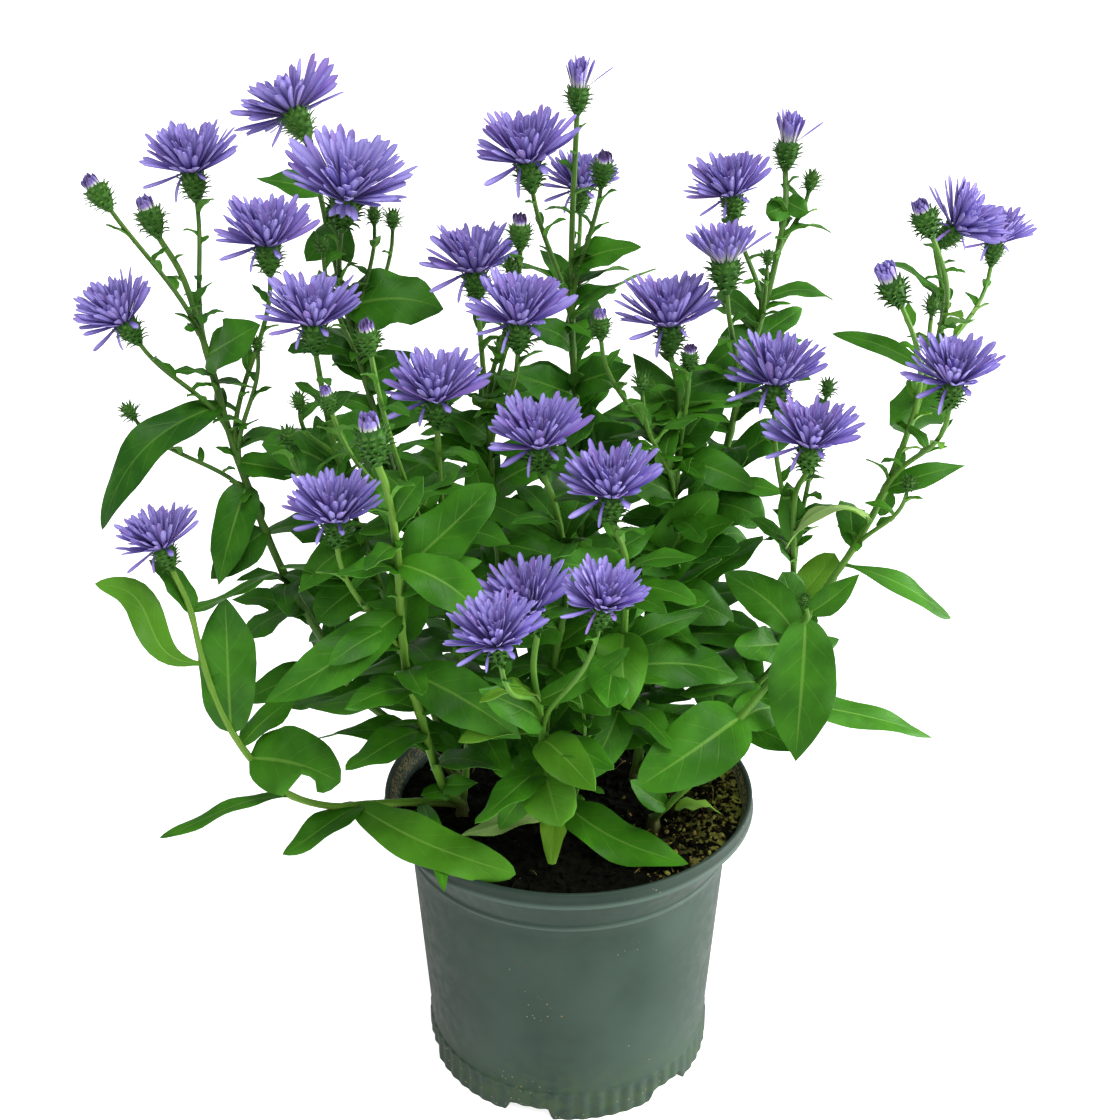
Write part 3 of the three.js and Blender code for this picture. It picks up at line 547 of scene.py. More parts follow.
def closeEnds(draft, grid, heights=(0, 0)):
    for ring, height, way in ((grid[0], heights[0], -1), (grid[-1], heights[-1], 1)):
        fan = [[ring[0], ring[k], ring[k + 1]][::way] for k in range(1, len(ring) - 1)]
        addFaces(draft, np.array(fan), np.full((len(fan), 3, 2), float(height)))


# Rings of points joined into a closed tube, with flat ends
def addRings(draft, rings, heights, marks):
    grid = addPoints(draft, rings, marks)
    joinRings(draft, grid, heights)
    closeEnds(draft, grid, heights)


# A tube along a path whose radius changes
def addTube(draft, path, radii, sides, marks):
    tangent = unit(np.gradient(path, axis=0))
    side = np.array([0.0, 1.0, 0.0]) if abs(tangent[0][1]) < 0.9 else np.array([1.0, 0.0, 0.0])
    turn = fullTurn(sides)
    rings = []
    for place, heading, radius in zip(path, tangent, radii):
        side = unit(side - heading * np.dot(side, heading))
        other = np.cross(heading, side)
        rings.append(place + radius * (np.outer(np.cos(turn), side) + np.outer(np.sin(turn), other)))
    addRings(draft, np.array(rings), distances(path) / 10, marks)


# Turns a draft into a piece that rides on the pot and stands for its nodes
def makePiece(name, draft, material, nodes, sharpAngle=50):
    mesh = bpy.data.meshes.new(name)
    points = np.concatenate(draft["points"]) * toMetres
    mesh.vertices.add(len(points))
    mesh.vertices.foreach_set("co", points.astype(np.float32).ravel())
    corners = np.concatenate([faces.ravel() for faces in draft["faces"]])
    sizes = np.concatenate([np.full(len(faces), faces.shape[1]) for faces in draft["faces"]])
    mesh.loops.add(len(corners))
    mesh.loops.foreach_set("vertex_index", corners.astype(np.int32))
    mesh.polygons.add(len(sizes))
    starts = np.concatenate([[0], np.cumsum(sizes)[:-1]])
    mesh.polygons.foreach_set("loop_start", starts.astype(np.int32))
    mesh.polygons.foreach_set("use_smooth", np.ones(len(sizes), bool))
    mesh.update(calc_edges=True)
    uv = mesh.uv_layers.new(name="UVMap").uv
    uv.foreach_set("vector", np.concatenate(draft["uv"]).astype(np.float32).ravel())
    for label, values in draft["marks"].items():
        data = mesh.attributes.new(label, "FLOAT", "POINT").data
        data.foreach_set("value", np.concatenate(values).astype(np.float32))
    mesh.set_sharp_from_angle(angle=math.radians(sharpAngle))
    mesh.materials.append(material)
    piece = linkObject(name, mesh)
    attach(piece, "root")
    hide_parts(*nodes)


# Stems and branches
stemLook = {
    "step": 3.2,  # length of one tube section
    "sides": 10,
    "slimness": 0.86,
    "branchSides": 8,
    "branchGirth": (0.92, 0.76),
    "branchBend": 0.35,
    "branchRows": 15,
    "smallHead": 0.75,  # how much slimmer the branch of a small head is
    "headLength": 9,
    "nodeSwell": 0.14,  # share by which a stem swells where a leaf grows
    "nodeReach": 1.8,
    "soilHeight": 103,  # where a stem leaves the crown
    "rootDepth": 9,  # how far a stem goes down into the soil
    "flare": 1.18,  # girth at the soil, times the shoot's own
    "flareHeights": (100, 116),
}


def smoothRoute(route, step):
    points = [np.array(p, float) for p in route]
    ends = [2 * points[0] - points[1], *points, 2 * points[-1] - points[-2]]
    path = []
    for a, b, c, d in zip(ends, ends[1:], ends[2:], ends[3:]):
        count = max(2, round(np.linalg.norm(c - b) / step))
        for t in np.arange(count) / count:
            bend = (c - a) * t + (2 * a - 5 * b + 4 * c - d) * t ** 2 + (3 * b - 3 * c + d - a) * t ** 3
            path.append(b + 0.5 * bend)
    return np.array(path + [points[-1]])


def onPath(path, height):
    i = 0
    while i + 2 < len(path) and path[i + 1][2] < height:
        i += 1
    share = np.clip((height - path[i][2]) / (path[i + 1][2] - path[i][2]), 0, 1)
    return lerp(path[i], path[i + 1], share), unit(path[i + 1] - path[i])


def branchPath(place, heading, end, lean):
    reach = np.linalg.norm(end - place) * stemLook["branchBend"]
    a, b, c, d = place, place + heading * reach, end - lean * reach, end
    t = np.linspace(0, 1, stemLook["branchRows"])[:, None]
    return a * (1 - t) ** 3 + 3 * b * t * (1 - t) ** 2 + 3 * c * t ** 2 * (1 - t) + d * t ** 3


def stemRadii(path, girth, joints):
    along = distances(path)
    flare = 1 + (stemLook["flare"] - 1) * (1 - smooth(path[:, 2], *stemLook["flareHeights"]))
    radii = lerp(*girth, along / along[-1]) * flare * stemLook["slimness"]
    for joint in joints:
        away = np.linalg.norm(path - joint, axis=1) / stemLook["nodeReach"]
        radii = radii * (1 + stemLook["nodeSwell"] * np.exp(-away ** 2))
    return radii


# Leaves. Sizes across are shares of the half width, and places along are shares of the length.
leafLook = {
    "rowStep": 2.05,
    "rows": (8, 28),
    "endRows": 0.45,  # how far the rows crowd towards the ends
    "wideColumns": (-1, -0.84, -0.6, -0.34, -0.12, 0, 0.12, 0.34, 0.6, 0.84, 1),
    "smallColumns": (-1, -0.55, 0, 0.55, 1),
    "smallLeaf": 16,
    "widen": 1.08,
    "peak": (0.34, 0.5),  # where a leaf is broadest
    "fullness": (0.38, 0.64),
    "basalWidth": 0.13,
    "tipWidth": 0.012,
    "fold": (0.16, 0.34),  # slope of each half beside the rib
    "foldTo": 1.25,
    "cupping": 0.12,
    "waves": (1.2, 2.3),
    "waveHeight": 0.24,
    "waveStart": (0.05, 0.3),
    "twist": 0.8,
    "twistFrom": 0.15,
    "sway": 0.07,
    "droop": (-0.05, 0.12),
    "thickness": 0.34,
    "edgeThinner": 0.5,
    "keel": 0.55,
    "keelWidth": 0.1,
    "keelFade": 0.8,
    "teeth": 0.05,
    "toothPitch": 7,
    "toothPlace": 0.35,
    "toothStart": (0.45, 0.6),
    "bite": (0.5, 0.53, 0.72, 0.88),
}


def addLeaf(draft, root, reach, width, arch, face, tone, rng, tear=0, fullness=None, bow=None, form=None):
    look = leafLook
    reach = np.array(reach, float)
    length = np.linalg.norm(reach)
    along = unit(reach)
    facing = np.array(face, float)
    above = unit(facing - along * np.dot(facing, along))
    across = np.cross(above, along)
    small = length < look["smallLeaf"]
    rows = int(np.clip(length / look["rowStep"], *look["rows"]))
    columns = np.array(look["smallColumns" if small else "wideColumns"])
    s = np.linspace(0, 1, rows)
    s = lerp(s, 0.5 - 0.5 * np.cos(math.pi * s), look["endRows"])
    peak = rng.uniform(*look["peak"])
    fullness = fullness or rng.uniform(*look["fullness"])
    outline = (s / peak) ** fullness * ((1 - s) / (1 - peak)) ** (fullness * (1 - peak) / peak)
    doubleBend = 0
    if form:  # where it is broadest, its bluntness towards the root and the tip, and its double bend
        peak, blunt, sharp, doubleBend = form
        rise = np.sin(math.pi / 2 * np.minimum(s / peak, 1)) ** blunt
        outline = rise * np.cos(math.pi / 2 * np.clip((s - peak) / (1 - peak), 0, 1)) ** sharp
    outline = np.maximum(outline, look["basalWidth"] * (1 - s) + look["tipWidth"])
    if not small:
        notch = np.abs((s * length / look["toothPitch"]) % 1 - look["toothPlace"])
        outline *= 1 - look["teeth"] * notch * smooth(s, *look["toothStart"])
    half = outline * width * look["widen"] / 2
    curve = 4 * arch * s * (1 - s)
    droop = rng.uniform(*look["droop"]) * length * s * s * (1 - s) * 4
    bow = rng.uniform(-1, 1) * look["sway"] if bow is None else bow
    sway = length * (bow * np.sin(math.pi * s) + doubleBend * np.sin(2 * math.pi * s))
    centre = root + np.outer(s, along) * length + np.outer(curve - droop, above) + np.outer(sway, across)
    twist = rng.uniform(-1, 1) * look["twist"] * (s - look["twistFrom"])
    side = np.outer(np.cos(twist), across) + np.outer(np.sin(twist), above)
    fold = rng.uniform(*look["fold"]) * (look["foldTo"] - s)
    waves = rng.uniform(*look["waves"])
    starts = [rng.uniform(0, 2 * math.pi), rng.uniform(0, 2 * math.pi)]
    away = np.abs(columns)[None]
    phase = np.where(columns < 0, *starts)[None] + 2 * math.pi * waves * s[:, None]
    ripple = look["waveHeight"] * away ** 2 * np.sin(phase) * smooth(s, *look["waveStart"])[:, None]
    lift = half[:, None] * (fold[:, None] * away - look["cupping"] * away ** 3 + ripple)
    if tear:  # a bite out of one side, towards the tip
        bite = smooth(s, *look["bite"][:2]) * (1 - smooth(s, *look["bite"][2:]))
        half = half[:, None] * np.where(columns < 0, 1 - tear * bite[:, None], 1.0)
    body = look["thickness"] * (1 - look["edgeThinner"] * away ** 2) * np.ones((rows, 1))
    keelFade = 1 - look["keelFade"] * s[:, None]
    body = body + look["keel"] * np.exp(-(away / look["keelWidth"]) ** 2) * keelFade
    sheets = [{"tone": tone, "under": under} for under in (0.0, 1.0)]
    addBlade(draft, centre, side, half, columns, lift, body, *sheets)


# Leaves by rule: a whorl that winds up a shoot, and leaves that fill its gaps, each turned the way
# that keeps it clearest of the other stems. Widths and arches are shares of the length.
goldenAngle = 137.5
whorlShape = {"rise": (0.1, 0.45), "width": 0.33, "arch": 0.12}
fillingLook = {
    "length": (36, 22), "vary": (0.85, 1.15), "width": 0.32, "arch": 0.13, "rise": (-0.15, 0.5),
    "tries": 5, "turnStep": 28, "heightJitter": 2, "clearFrom": 0.3,
}


def whorlLeaves(first, last, count, turn, longest, shortest):
    leaves = []
    for i in range(count):
        share = i / count
        angle = math.radians(turn + goldenAngle * i)
        length = lerp(longest, shortest, share)
        rise = lerp(*whorlShape["rise"], share)
        reach = (length * math.cos(angle), length * math.sin(angle), length * rise)
        size = (whorlShape["width"] * length, whorlShape["arch"] * length)
        leaves.append((lerp(first, last, share), reach, *size, lit))
    return leaves


def fillingLeaves(filling, path, others, rng):
    look = fillingLook
    first, last, spacing = filling
    count = max(1, round((last - first) / spacing))
    turn = rng.uniform(0, 360)
    leaves = []
    for i in range(count):
        height = lerp(first, last, i / count) + rng.uniform(-1, 1) * look["heightJitter"]
        length = lerp(*look["length"], i / count) * rng.uniform(*look["vary"])
        root = onPath(path, height)[0]
        turn += goldenAngle
        best = None
        for attempt in range(look["tries"]):
            angle = turn + look["turnStep"] * (attempt // 2 + attempt % 2) * (-1) ** attempt
            reach = pointing(math.radians(angle), rng.uniform(*look["rise"]), length)
            middle = root + np.outer(np.linspace(look["clearFrom"], 1, 7), reach)
            gap = min(np.linalg.norm(others - p, axis=1).min() for p in middle)
            if best is None or gap > best[0]:
                best = (gap, reach)
        leaves.append((height, best[1], look["width"] * length, look["arch"] * length, lit))
    return leaves


# Little clasping leaves along the upper stems, longer lower down unless the shoot is airy
leafletLook = {
    "from": 205,
    "branchFrom": 190,
    "spacing": 7,
    "vary": (0.8, 1.3),
    "ends": 4,
    "length": (5, 11),
    "lowLength": (13, 26),
    "between": (205, 282),  # heights over which they shorten
    "width": 0.36,
    "arch": 0.16,
    "rise": (0.0, 0.9),
    "turnJitter": 20,
}


def addLeaflets(draft, path, lowest, spacing, tones, airy, rng):
    look = leafletLook
    along = distances(path)
    place = rng.uniform(look["ends"], 2 * look["ends"])
    turn = rng.uniform(0, 360)
    while place < along[-1] - look["ends"]:
        root = path[min(int(np.searchsorted(along, place)), len(path) - 2)]
        if root[2] > lowest:
            short = 1 if airy else smooth(root[2], *look["between"])
            length = lerp(rng.uniform(*look["lowLength"]), rng.uniform(*look["length"]), short)
            reach = pointing(math.radians(turn), rng.uniform(*look["rise"]), length)
            size = (look["width"] * length, look["arch"] * length)
            addLeaf(draft, root, reach, *size, up, rng.uniform(*tones), rng)
        turn += goldenAngle + rng.uniform(-look["turnJitter"], look["turnJitter"])
        place += spacing * rng.uniform(*look["vary"])


# Cups of bracts and closed buds. A body is a row of heights and radii. Each row of bracts gives a
# height, count and length, and its lean at the root and the tip in degrees from the head's axis.
cupLook = {
    "open": {
        "body": ((-9.4, 1.1), (-7.8, 2.0), (-5.8, 3.1), (-3.6, 3.8), (-1.5, 4.0), (0.2, 3.5), (1.0, 1.8)),
        "rows": (
            (-8.6, 5, 4.0, 36, 106), (-7.2, 7, 4.0, 36, 106), (-5.7, 9, 4.0, 30, 98), (-4.2, 10, 4.0, 22, 88),
            (-2.8, 11, 3.9, 12, 72), (-1.4, 11, 3.5, 4, 46),
        ),
    },
    "bud": {
        "body": ((-9.2, 1.1), (-7.6, 2.0), (-5.6, 3.1), (-3.4, 3.8), (-1.0, 3.9), (1.0, 3.1), (2.2, 1.6)),
        "rows": (
            (-8.6, 5, 4.2, 38, 104), (-7.0, 7, 4.4, 36, 104), (-5.2, 9, 4.6, 28, 96), (-3.4, 10, 4.6, 12, 80),
            (-1.7, 10, 4.4, -6, 52), (0.0, 9, 3.6, -30, -5),
        ),
    },
    "star": {
        "body": ((-9.6, 0.8), (-7.0, 1.1), (-5.2, 2.1), (-3.2, 2.9), (-1.0, 3.0), (0.9, 2.3), (2.2, 1.0)),
        "rows": (
            (-6.2, 5, 5.6, 50, 112), (-4.4, 7, 6.2, 40, 100), (-2.6, 8, 6.4, 26, 84), (-0.8, 8, 5.8, 8, 58),
            (0.8, 6, 4.2, -14, 14),
        ),
    },
    "starSize": 0.72,  # buds smaller than this are open stars of bracts
    "sides": 14,
    "width": 1.55,
    "taper": 1.6,
    "edge": 0.03,
    "keel": 0.25,
    "sunk": 0.15,
    "leanJitter": 26,
    "turnJitter": 6,
    "heightJitter": 0.45,
    "lengthVary": (0.85, 1.15),
    "thickness": 0.2,
    "columns": (-1, 0, 1),
    "bractRows": 4,
}


def headBasis(lean):
    turn = Vector((0, 0, 1)).rotation_difference(Vector(lean).normalized())
    return np.array(turn.to_matrix())


def addCup(draft, at, basis, size, closed, rng):
    look = cupLook
    form = look[("star" if size < look["starSize"] else "bud") if closed else "open"]
    heights, radii = zip(*form["body"])
    turn = fullTurn(look["sides"])
    rings = np.array([ringAt(turn, radius, height) for height, radius in form["body"]])
    addRings(draft, at + (rings * size) @ basis.T, [0.8] * len(radii), {"tone": rng.uniform(0.2, 0.8)})
    columns = np.array(look["columns"])
    s = np.linspace(0, 1, look["bractRows"])
    for height, count, length, leanRoot, leanTip in form["rows"]:
        start = rng.uniform(0, 360)
        for i in range(count):
            jitter = rng.uniform(-look["turnJitter"], look["turnJitter"])
            angle = math.radians(start + 360 * i / count + jitter)
            out = np.array([math.cos(angle), math.sin(angle), 0])
            reach = length * rng.uniform(*look["lengthVary"])
            lean = np.radians(lerp(leanRoot, leanTip + rng.uniform(-1, 1) * look["leanJitter"], s))
            ways = np.outer(np.cos(lean), (0, 0, 1)) + np.outer(np.sin(lean), out)
            steps = np.cumsum(ways, axis=0) * reach / len(s)
            place = height + rng.uniform(-1, 1) * look["heightJitter"]
            radius = float(np.interp(place, heights, radii)) - look["sunk"]
            root = out * radius + np.array([0, 0, place])
            centre = at + ((root + steps - steps[0]) * size) @ basis.T
            across = np.tile(basis @ np.array([math.sin(angle), -math.cos(angle), 0]), (len(s), 1))
            half = look["width"] / 2 * size * (1 - s ** look["taper"]) + look["edge"]
            lift = half[:, None] * -look["keel"] * np.abs(columns)[None]
            depth = np.full((len(s), len(columns)), look["thickness"] * size)
            addBlade(draft, centre, across, half, columns, lift, depth, {"tone": rng.random()})


# Rays of the open and opening blooms, and the tuft that shows on a colouring bud. Each tier gives
# its count, lift, length, width, curve, the radius and height that its rays grow from, and the
# part of the circle that it fills, in degrees, where that isn't the whole.
rayLook = {
    "bloom": (
        (4, 13, 13.4, 2.1, 0.06, 2.7, 0.7, 150, 210), (4, 24, 14.0, 2.1, 0.05, 2.6, 0.8, 8, 100),
        (5, 20, 9.0, 2.1, 0.02, 2.7, 0.7, 232, 330), (1, -40, 6.0, 1.8, 0.0, 2.9, 0.5, 300, 330),
        (17, 33, 14.2, 2.0, 0.06, 2.6, 1.0), (18, 43, 15.2, 2.05, 0.04, 2.3, 1.4),
        (18, 53, 14.6, 2.0, 0.02, 1.9, 1.7), (16, 63, 13.2, 2.0, 0.0, 1.5, 2.0),
        (13, 72, 11.8, 1.95, 0.0, 1.1, 2.2), (8, 80, 10.4, 1.9, 0.0, 0.6, 2.4),
    ),
    "full": (
        (16, 9, 14.2, 2.1, 0.05, 2.7, 0.7), (5, -35, 8.0, 1.9, 0.0, 2.9, 0.4, 235, 300),
        (19, 21, 15.0, 2.2, 0.04, 2.6, 1.0), (21, 33, 15.6, 2.2, 0.03, 2.4, 1.3),
        (21, 45, 15.8, 2.2, 0.02, 2.0, 1.6), (20, 56, 15.4, 2.2, 0.0, 1.6, 1.9),
        (16, 66, 14.4, 2.1, 0.0, 1.1, 2.2), (11, 77, 12.8, 2.0, 0.0, 0.6, 2.4),
    ),
    "wide": (
        (14, 4, 14.0, 2.3, 0.06, 2.8, 0.5), (16, 16, 15.2, 2.4, 0.05, 2.7, 0.7),
        (16, 27, 15.6, 2.4, 0.04, 2.5, 1.0), (15, 39, 14.6, 2.4, 0.03, 2.2, 1.3),
        (11, 52, 13.0, 2.3, 0.0, 1.8, 1.6), (9, 66, 11.0, 2.2, 0.0, 1.2, 1.9),
        (5, 80, 9.4, 2.0, 0.0, 0.6, 2.2), (1, -52, 11.0, 1.6, 0.05, 2.9, 0.3, 195, 225),
    ),
    "opening": (
        (10, 74, 9.2, 2.0, 0.02, 2.4, 0.3), (9, 79, 9.8, 1.9, 0.0, 1.8, 0.7),
        (8, 84, 9.6, 1.8, 0.0, 1.2, 1.1), (4, 88, 9.0, 1.6, 0.0, 0.5, 1.4),
        (1, 36, 13.0, 0.9, 0.0, 2.6, 0.3, -10, 10),
    ),
    "brush": (
        (13, 44, 9.4, 1.7, 0.03, 2.7, 0.3), (13, 54, 9.6, 1.7, 0.02, 2.4, 0.6),
        (12, 64, 9.4, 1.7, 0.0, 1.9, 0.9), (9, 75, 9.0, 1.6, 0.0, 1.2, 1.2),
        (5, 85, 8.4, 1.5, 0.0, 0.5, 1.4), (1, 26, 11.5, 0.9, 0.0, 2.6, 0.3, -10, 10),
    ),
    "budding": (
        (10, 74, 5.4, 2.1, 0.12, 2.5, 0.2), (9, 80, 5.8, 2.0, 0.08, 1.8, 0.4),
        (8, 85, 5.8, 1.9, 0.0, 1.0, 0.6), (3, 88, 5.4, 1.7, 0.0, 0.4, 0.8),
    ),
    "tuft": (
        (10, 80, 3.9, 1.9, 0.26, 2.4, 0.2), (8, 84, 4.3, 1.8, 0.2, 1.6, 0.4),
        (4, 87, 4.5, 1.6, 0.1, 0.7, 0.5),
    ),
    # azimuth, lift, length, width and curve of the stray rays that most blooms have
    "strays": (
        (-8, 22, 16.2, 2.2, 0.12), (4, 36, 16.0, 1.8, 0.04), (196, -22, 12.8, 1.6, 0.1),
        (222, -34, 8.4, 1.1, -0.5),
    ),
    "strayTurn": 12,
    "strayRoot": (2.4, 0.6),
    # place along a ray, and its share of the full width there
    "outline": ((0, 0.34), (0.22, 0.54), (0.45, 0.8), (0.66, 0.97), (0.82, 1.0), (0.93, 0.88), (1, 0.6)),
    "columns": (-1, -0.38, 0.38, 1),
    "channel": (0.3, 0.03, 0.03, 0.3),
    "channelEnds": (1.2, 0.6),
    "tipPull": (0.12, 0.0, 0.05, 0.1),
    "tipLongest": 6,
    "frontShorter": 0.3,
    "frontSteeper": 10,
    "sideLonger": 0.1,
    # turns the flat side of the rays at either side to the front
    "roll": {"wide": 0.95, "stray": 0.9},
    "plainRoll": 0.35,
    "thickness": 0.2,
    "jitter": {"turn": 9, "lift": 7, "length": 0.13, "width": 0.2, "curve": 0.08, "sway": 0.06, "twist": 0.5},
    # how young the rays of a form are, 1 when closed and below 0 when they fade
    "young": {"opening": 0.3, "brush": 0.3, "budding": 0.35, "wide": 0.1, "full": -0.4},
    "tuftYoung": (0.66, 0.95),
}


def addRay(draft, at, basis, size, turn, lift, length, width, curve, radius, height, young, rng, roll):
    jitter = rayLook["jitter"]
    turn, lift = math.radians(turn), math.radians(lift)
    outward = np.array([math.cos(turn), math.sin(turn), 0])
    out = basis @ (outward * math.cos(lift) + (0, 0, math.sin(lift)))
    above = basis @ (outward * -math.sin(lift) + (0, 0, math.cos(lift)))
    across = np.cross(above, out)
    root = at + basis @ ((outward * radius + (0, 0, height)) * size)
    reach = length * size * (1 + jitter["length"] * rng.uniform(-1, 1))
    s, shape = np.array(rayLook["outline"]).T
    bend = (curve + jitter["curve"] * rng.uniform(-1, 1)) * reach * s ** 2
    sway = jitter["sway"] * rng.uniform(-1, 1) * reach * s ** 2
    centre = root + np.outer(s * reach, out) + np.outer(bend, above) + np.outer(sway, across)
    broad = width * size * (1 + jitter["width"] * rng.uniform(-1, 1)) / 2
    half = broad * shape
    twist = roll * math.cos(turn) + jitter["twist"] * rng.uniform(-1, 1) * s
    side = np.outer(np.cos(twist), across) + np.outer(np.sin(twist), above)
    deep, shallower = rayLook["channelEnds"]
    channel = half[:, None] * np.array(rayLook["channel"])[None] * (deep - shallower * s)[:, None]
    depth = np.full((len(s), len(rayLook["columns"])), rayLook["thickness"] * size)
    tip = min(reach, rayLook["tipLongest"] * broad)
    pull = np.array(rayLook["tipPull"])[None] * (s ** 4)[:, None] * tip
    marks = {"tone": rng.random(), "young": young}
    addBlade(draft, centre, side, half, np.array(rayLook["columns"]), channel, depth, marks, None, pull)


def addRays(draft, at, basis, size, form, young, rng):
    look = rayLook
    jitter = look["jitter"]
    swing = rng.uniform(-1, 1) * look["strayTurn"]
    roll = look["roll"].get(form, look["plainRoll"])
    for count, lift, length, width, curve, radius, height, *arc in look[form]:
        low, high = arc or (0, 360)
        shift = 0.5 if arc else rng.uniform(0, 1)
        for i in range(count):
            turn = swing + lerp(low, high, (i + shift) / count) + jitter["turn"] * rng.uniform(-1, 1)
            toFront = min(math.sin(math.radians(turn)), 0)
            toSide = abs(math.cos(math.radians(turn)))
            rise = lift - look["frontSteeper"] * toFront + jitter["lift"] * rng.uniform(-1, 1)
            reach = length * (1 + look["frontShorter"] * toFront + look["sideLonger"] * (toSide - 0.5))
            shape = (reach, width, curve, radius, height, young, rng, roll)
            addRay(draft, at, basis, size, turn, rise, *shape)
    for turn, lift, length, width, curve in look["strays"] if form == "bloom" else ():
        shape = (length, width, curve, *look["strayRoot"], young, rng, look["roll"]["stray"])
        addRay(draft, at, basis, size, turn + swing, lift, *shape)


# Ways that a leaf's upper side faces
up, down = (0, 0, 1), (0, 0, -1)
front, frontUp, lit = (0, -1, 0.3), (0, -0.7, 0.7), (0, -0.4, 0.9)

# Where each plant's crown stands, and the shoots that grow from it.
# tones: the darkest and lightest of the leaves, and the stem's
# filling: first and last height, and the spacing; whorl: first and last height, count, first
# azimuth, longest and shortest leaf
# heads: kind, place, height of its branch on the shoot (None at the shoot's end), lean and size
# leaves: height on the shoot, reach, width, arch and face, then tone, tear, fullness, bow and form
crowns = {
    "left": (-40, 10), "front_left": (-37, -9), "middle": (-3, -8),
    "back": (-6, 26), "right": (29, -18), "back_right": (24, 12),
}

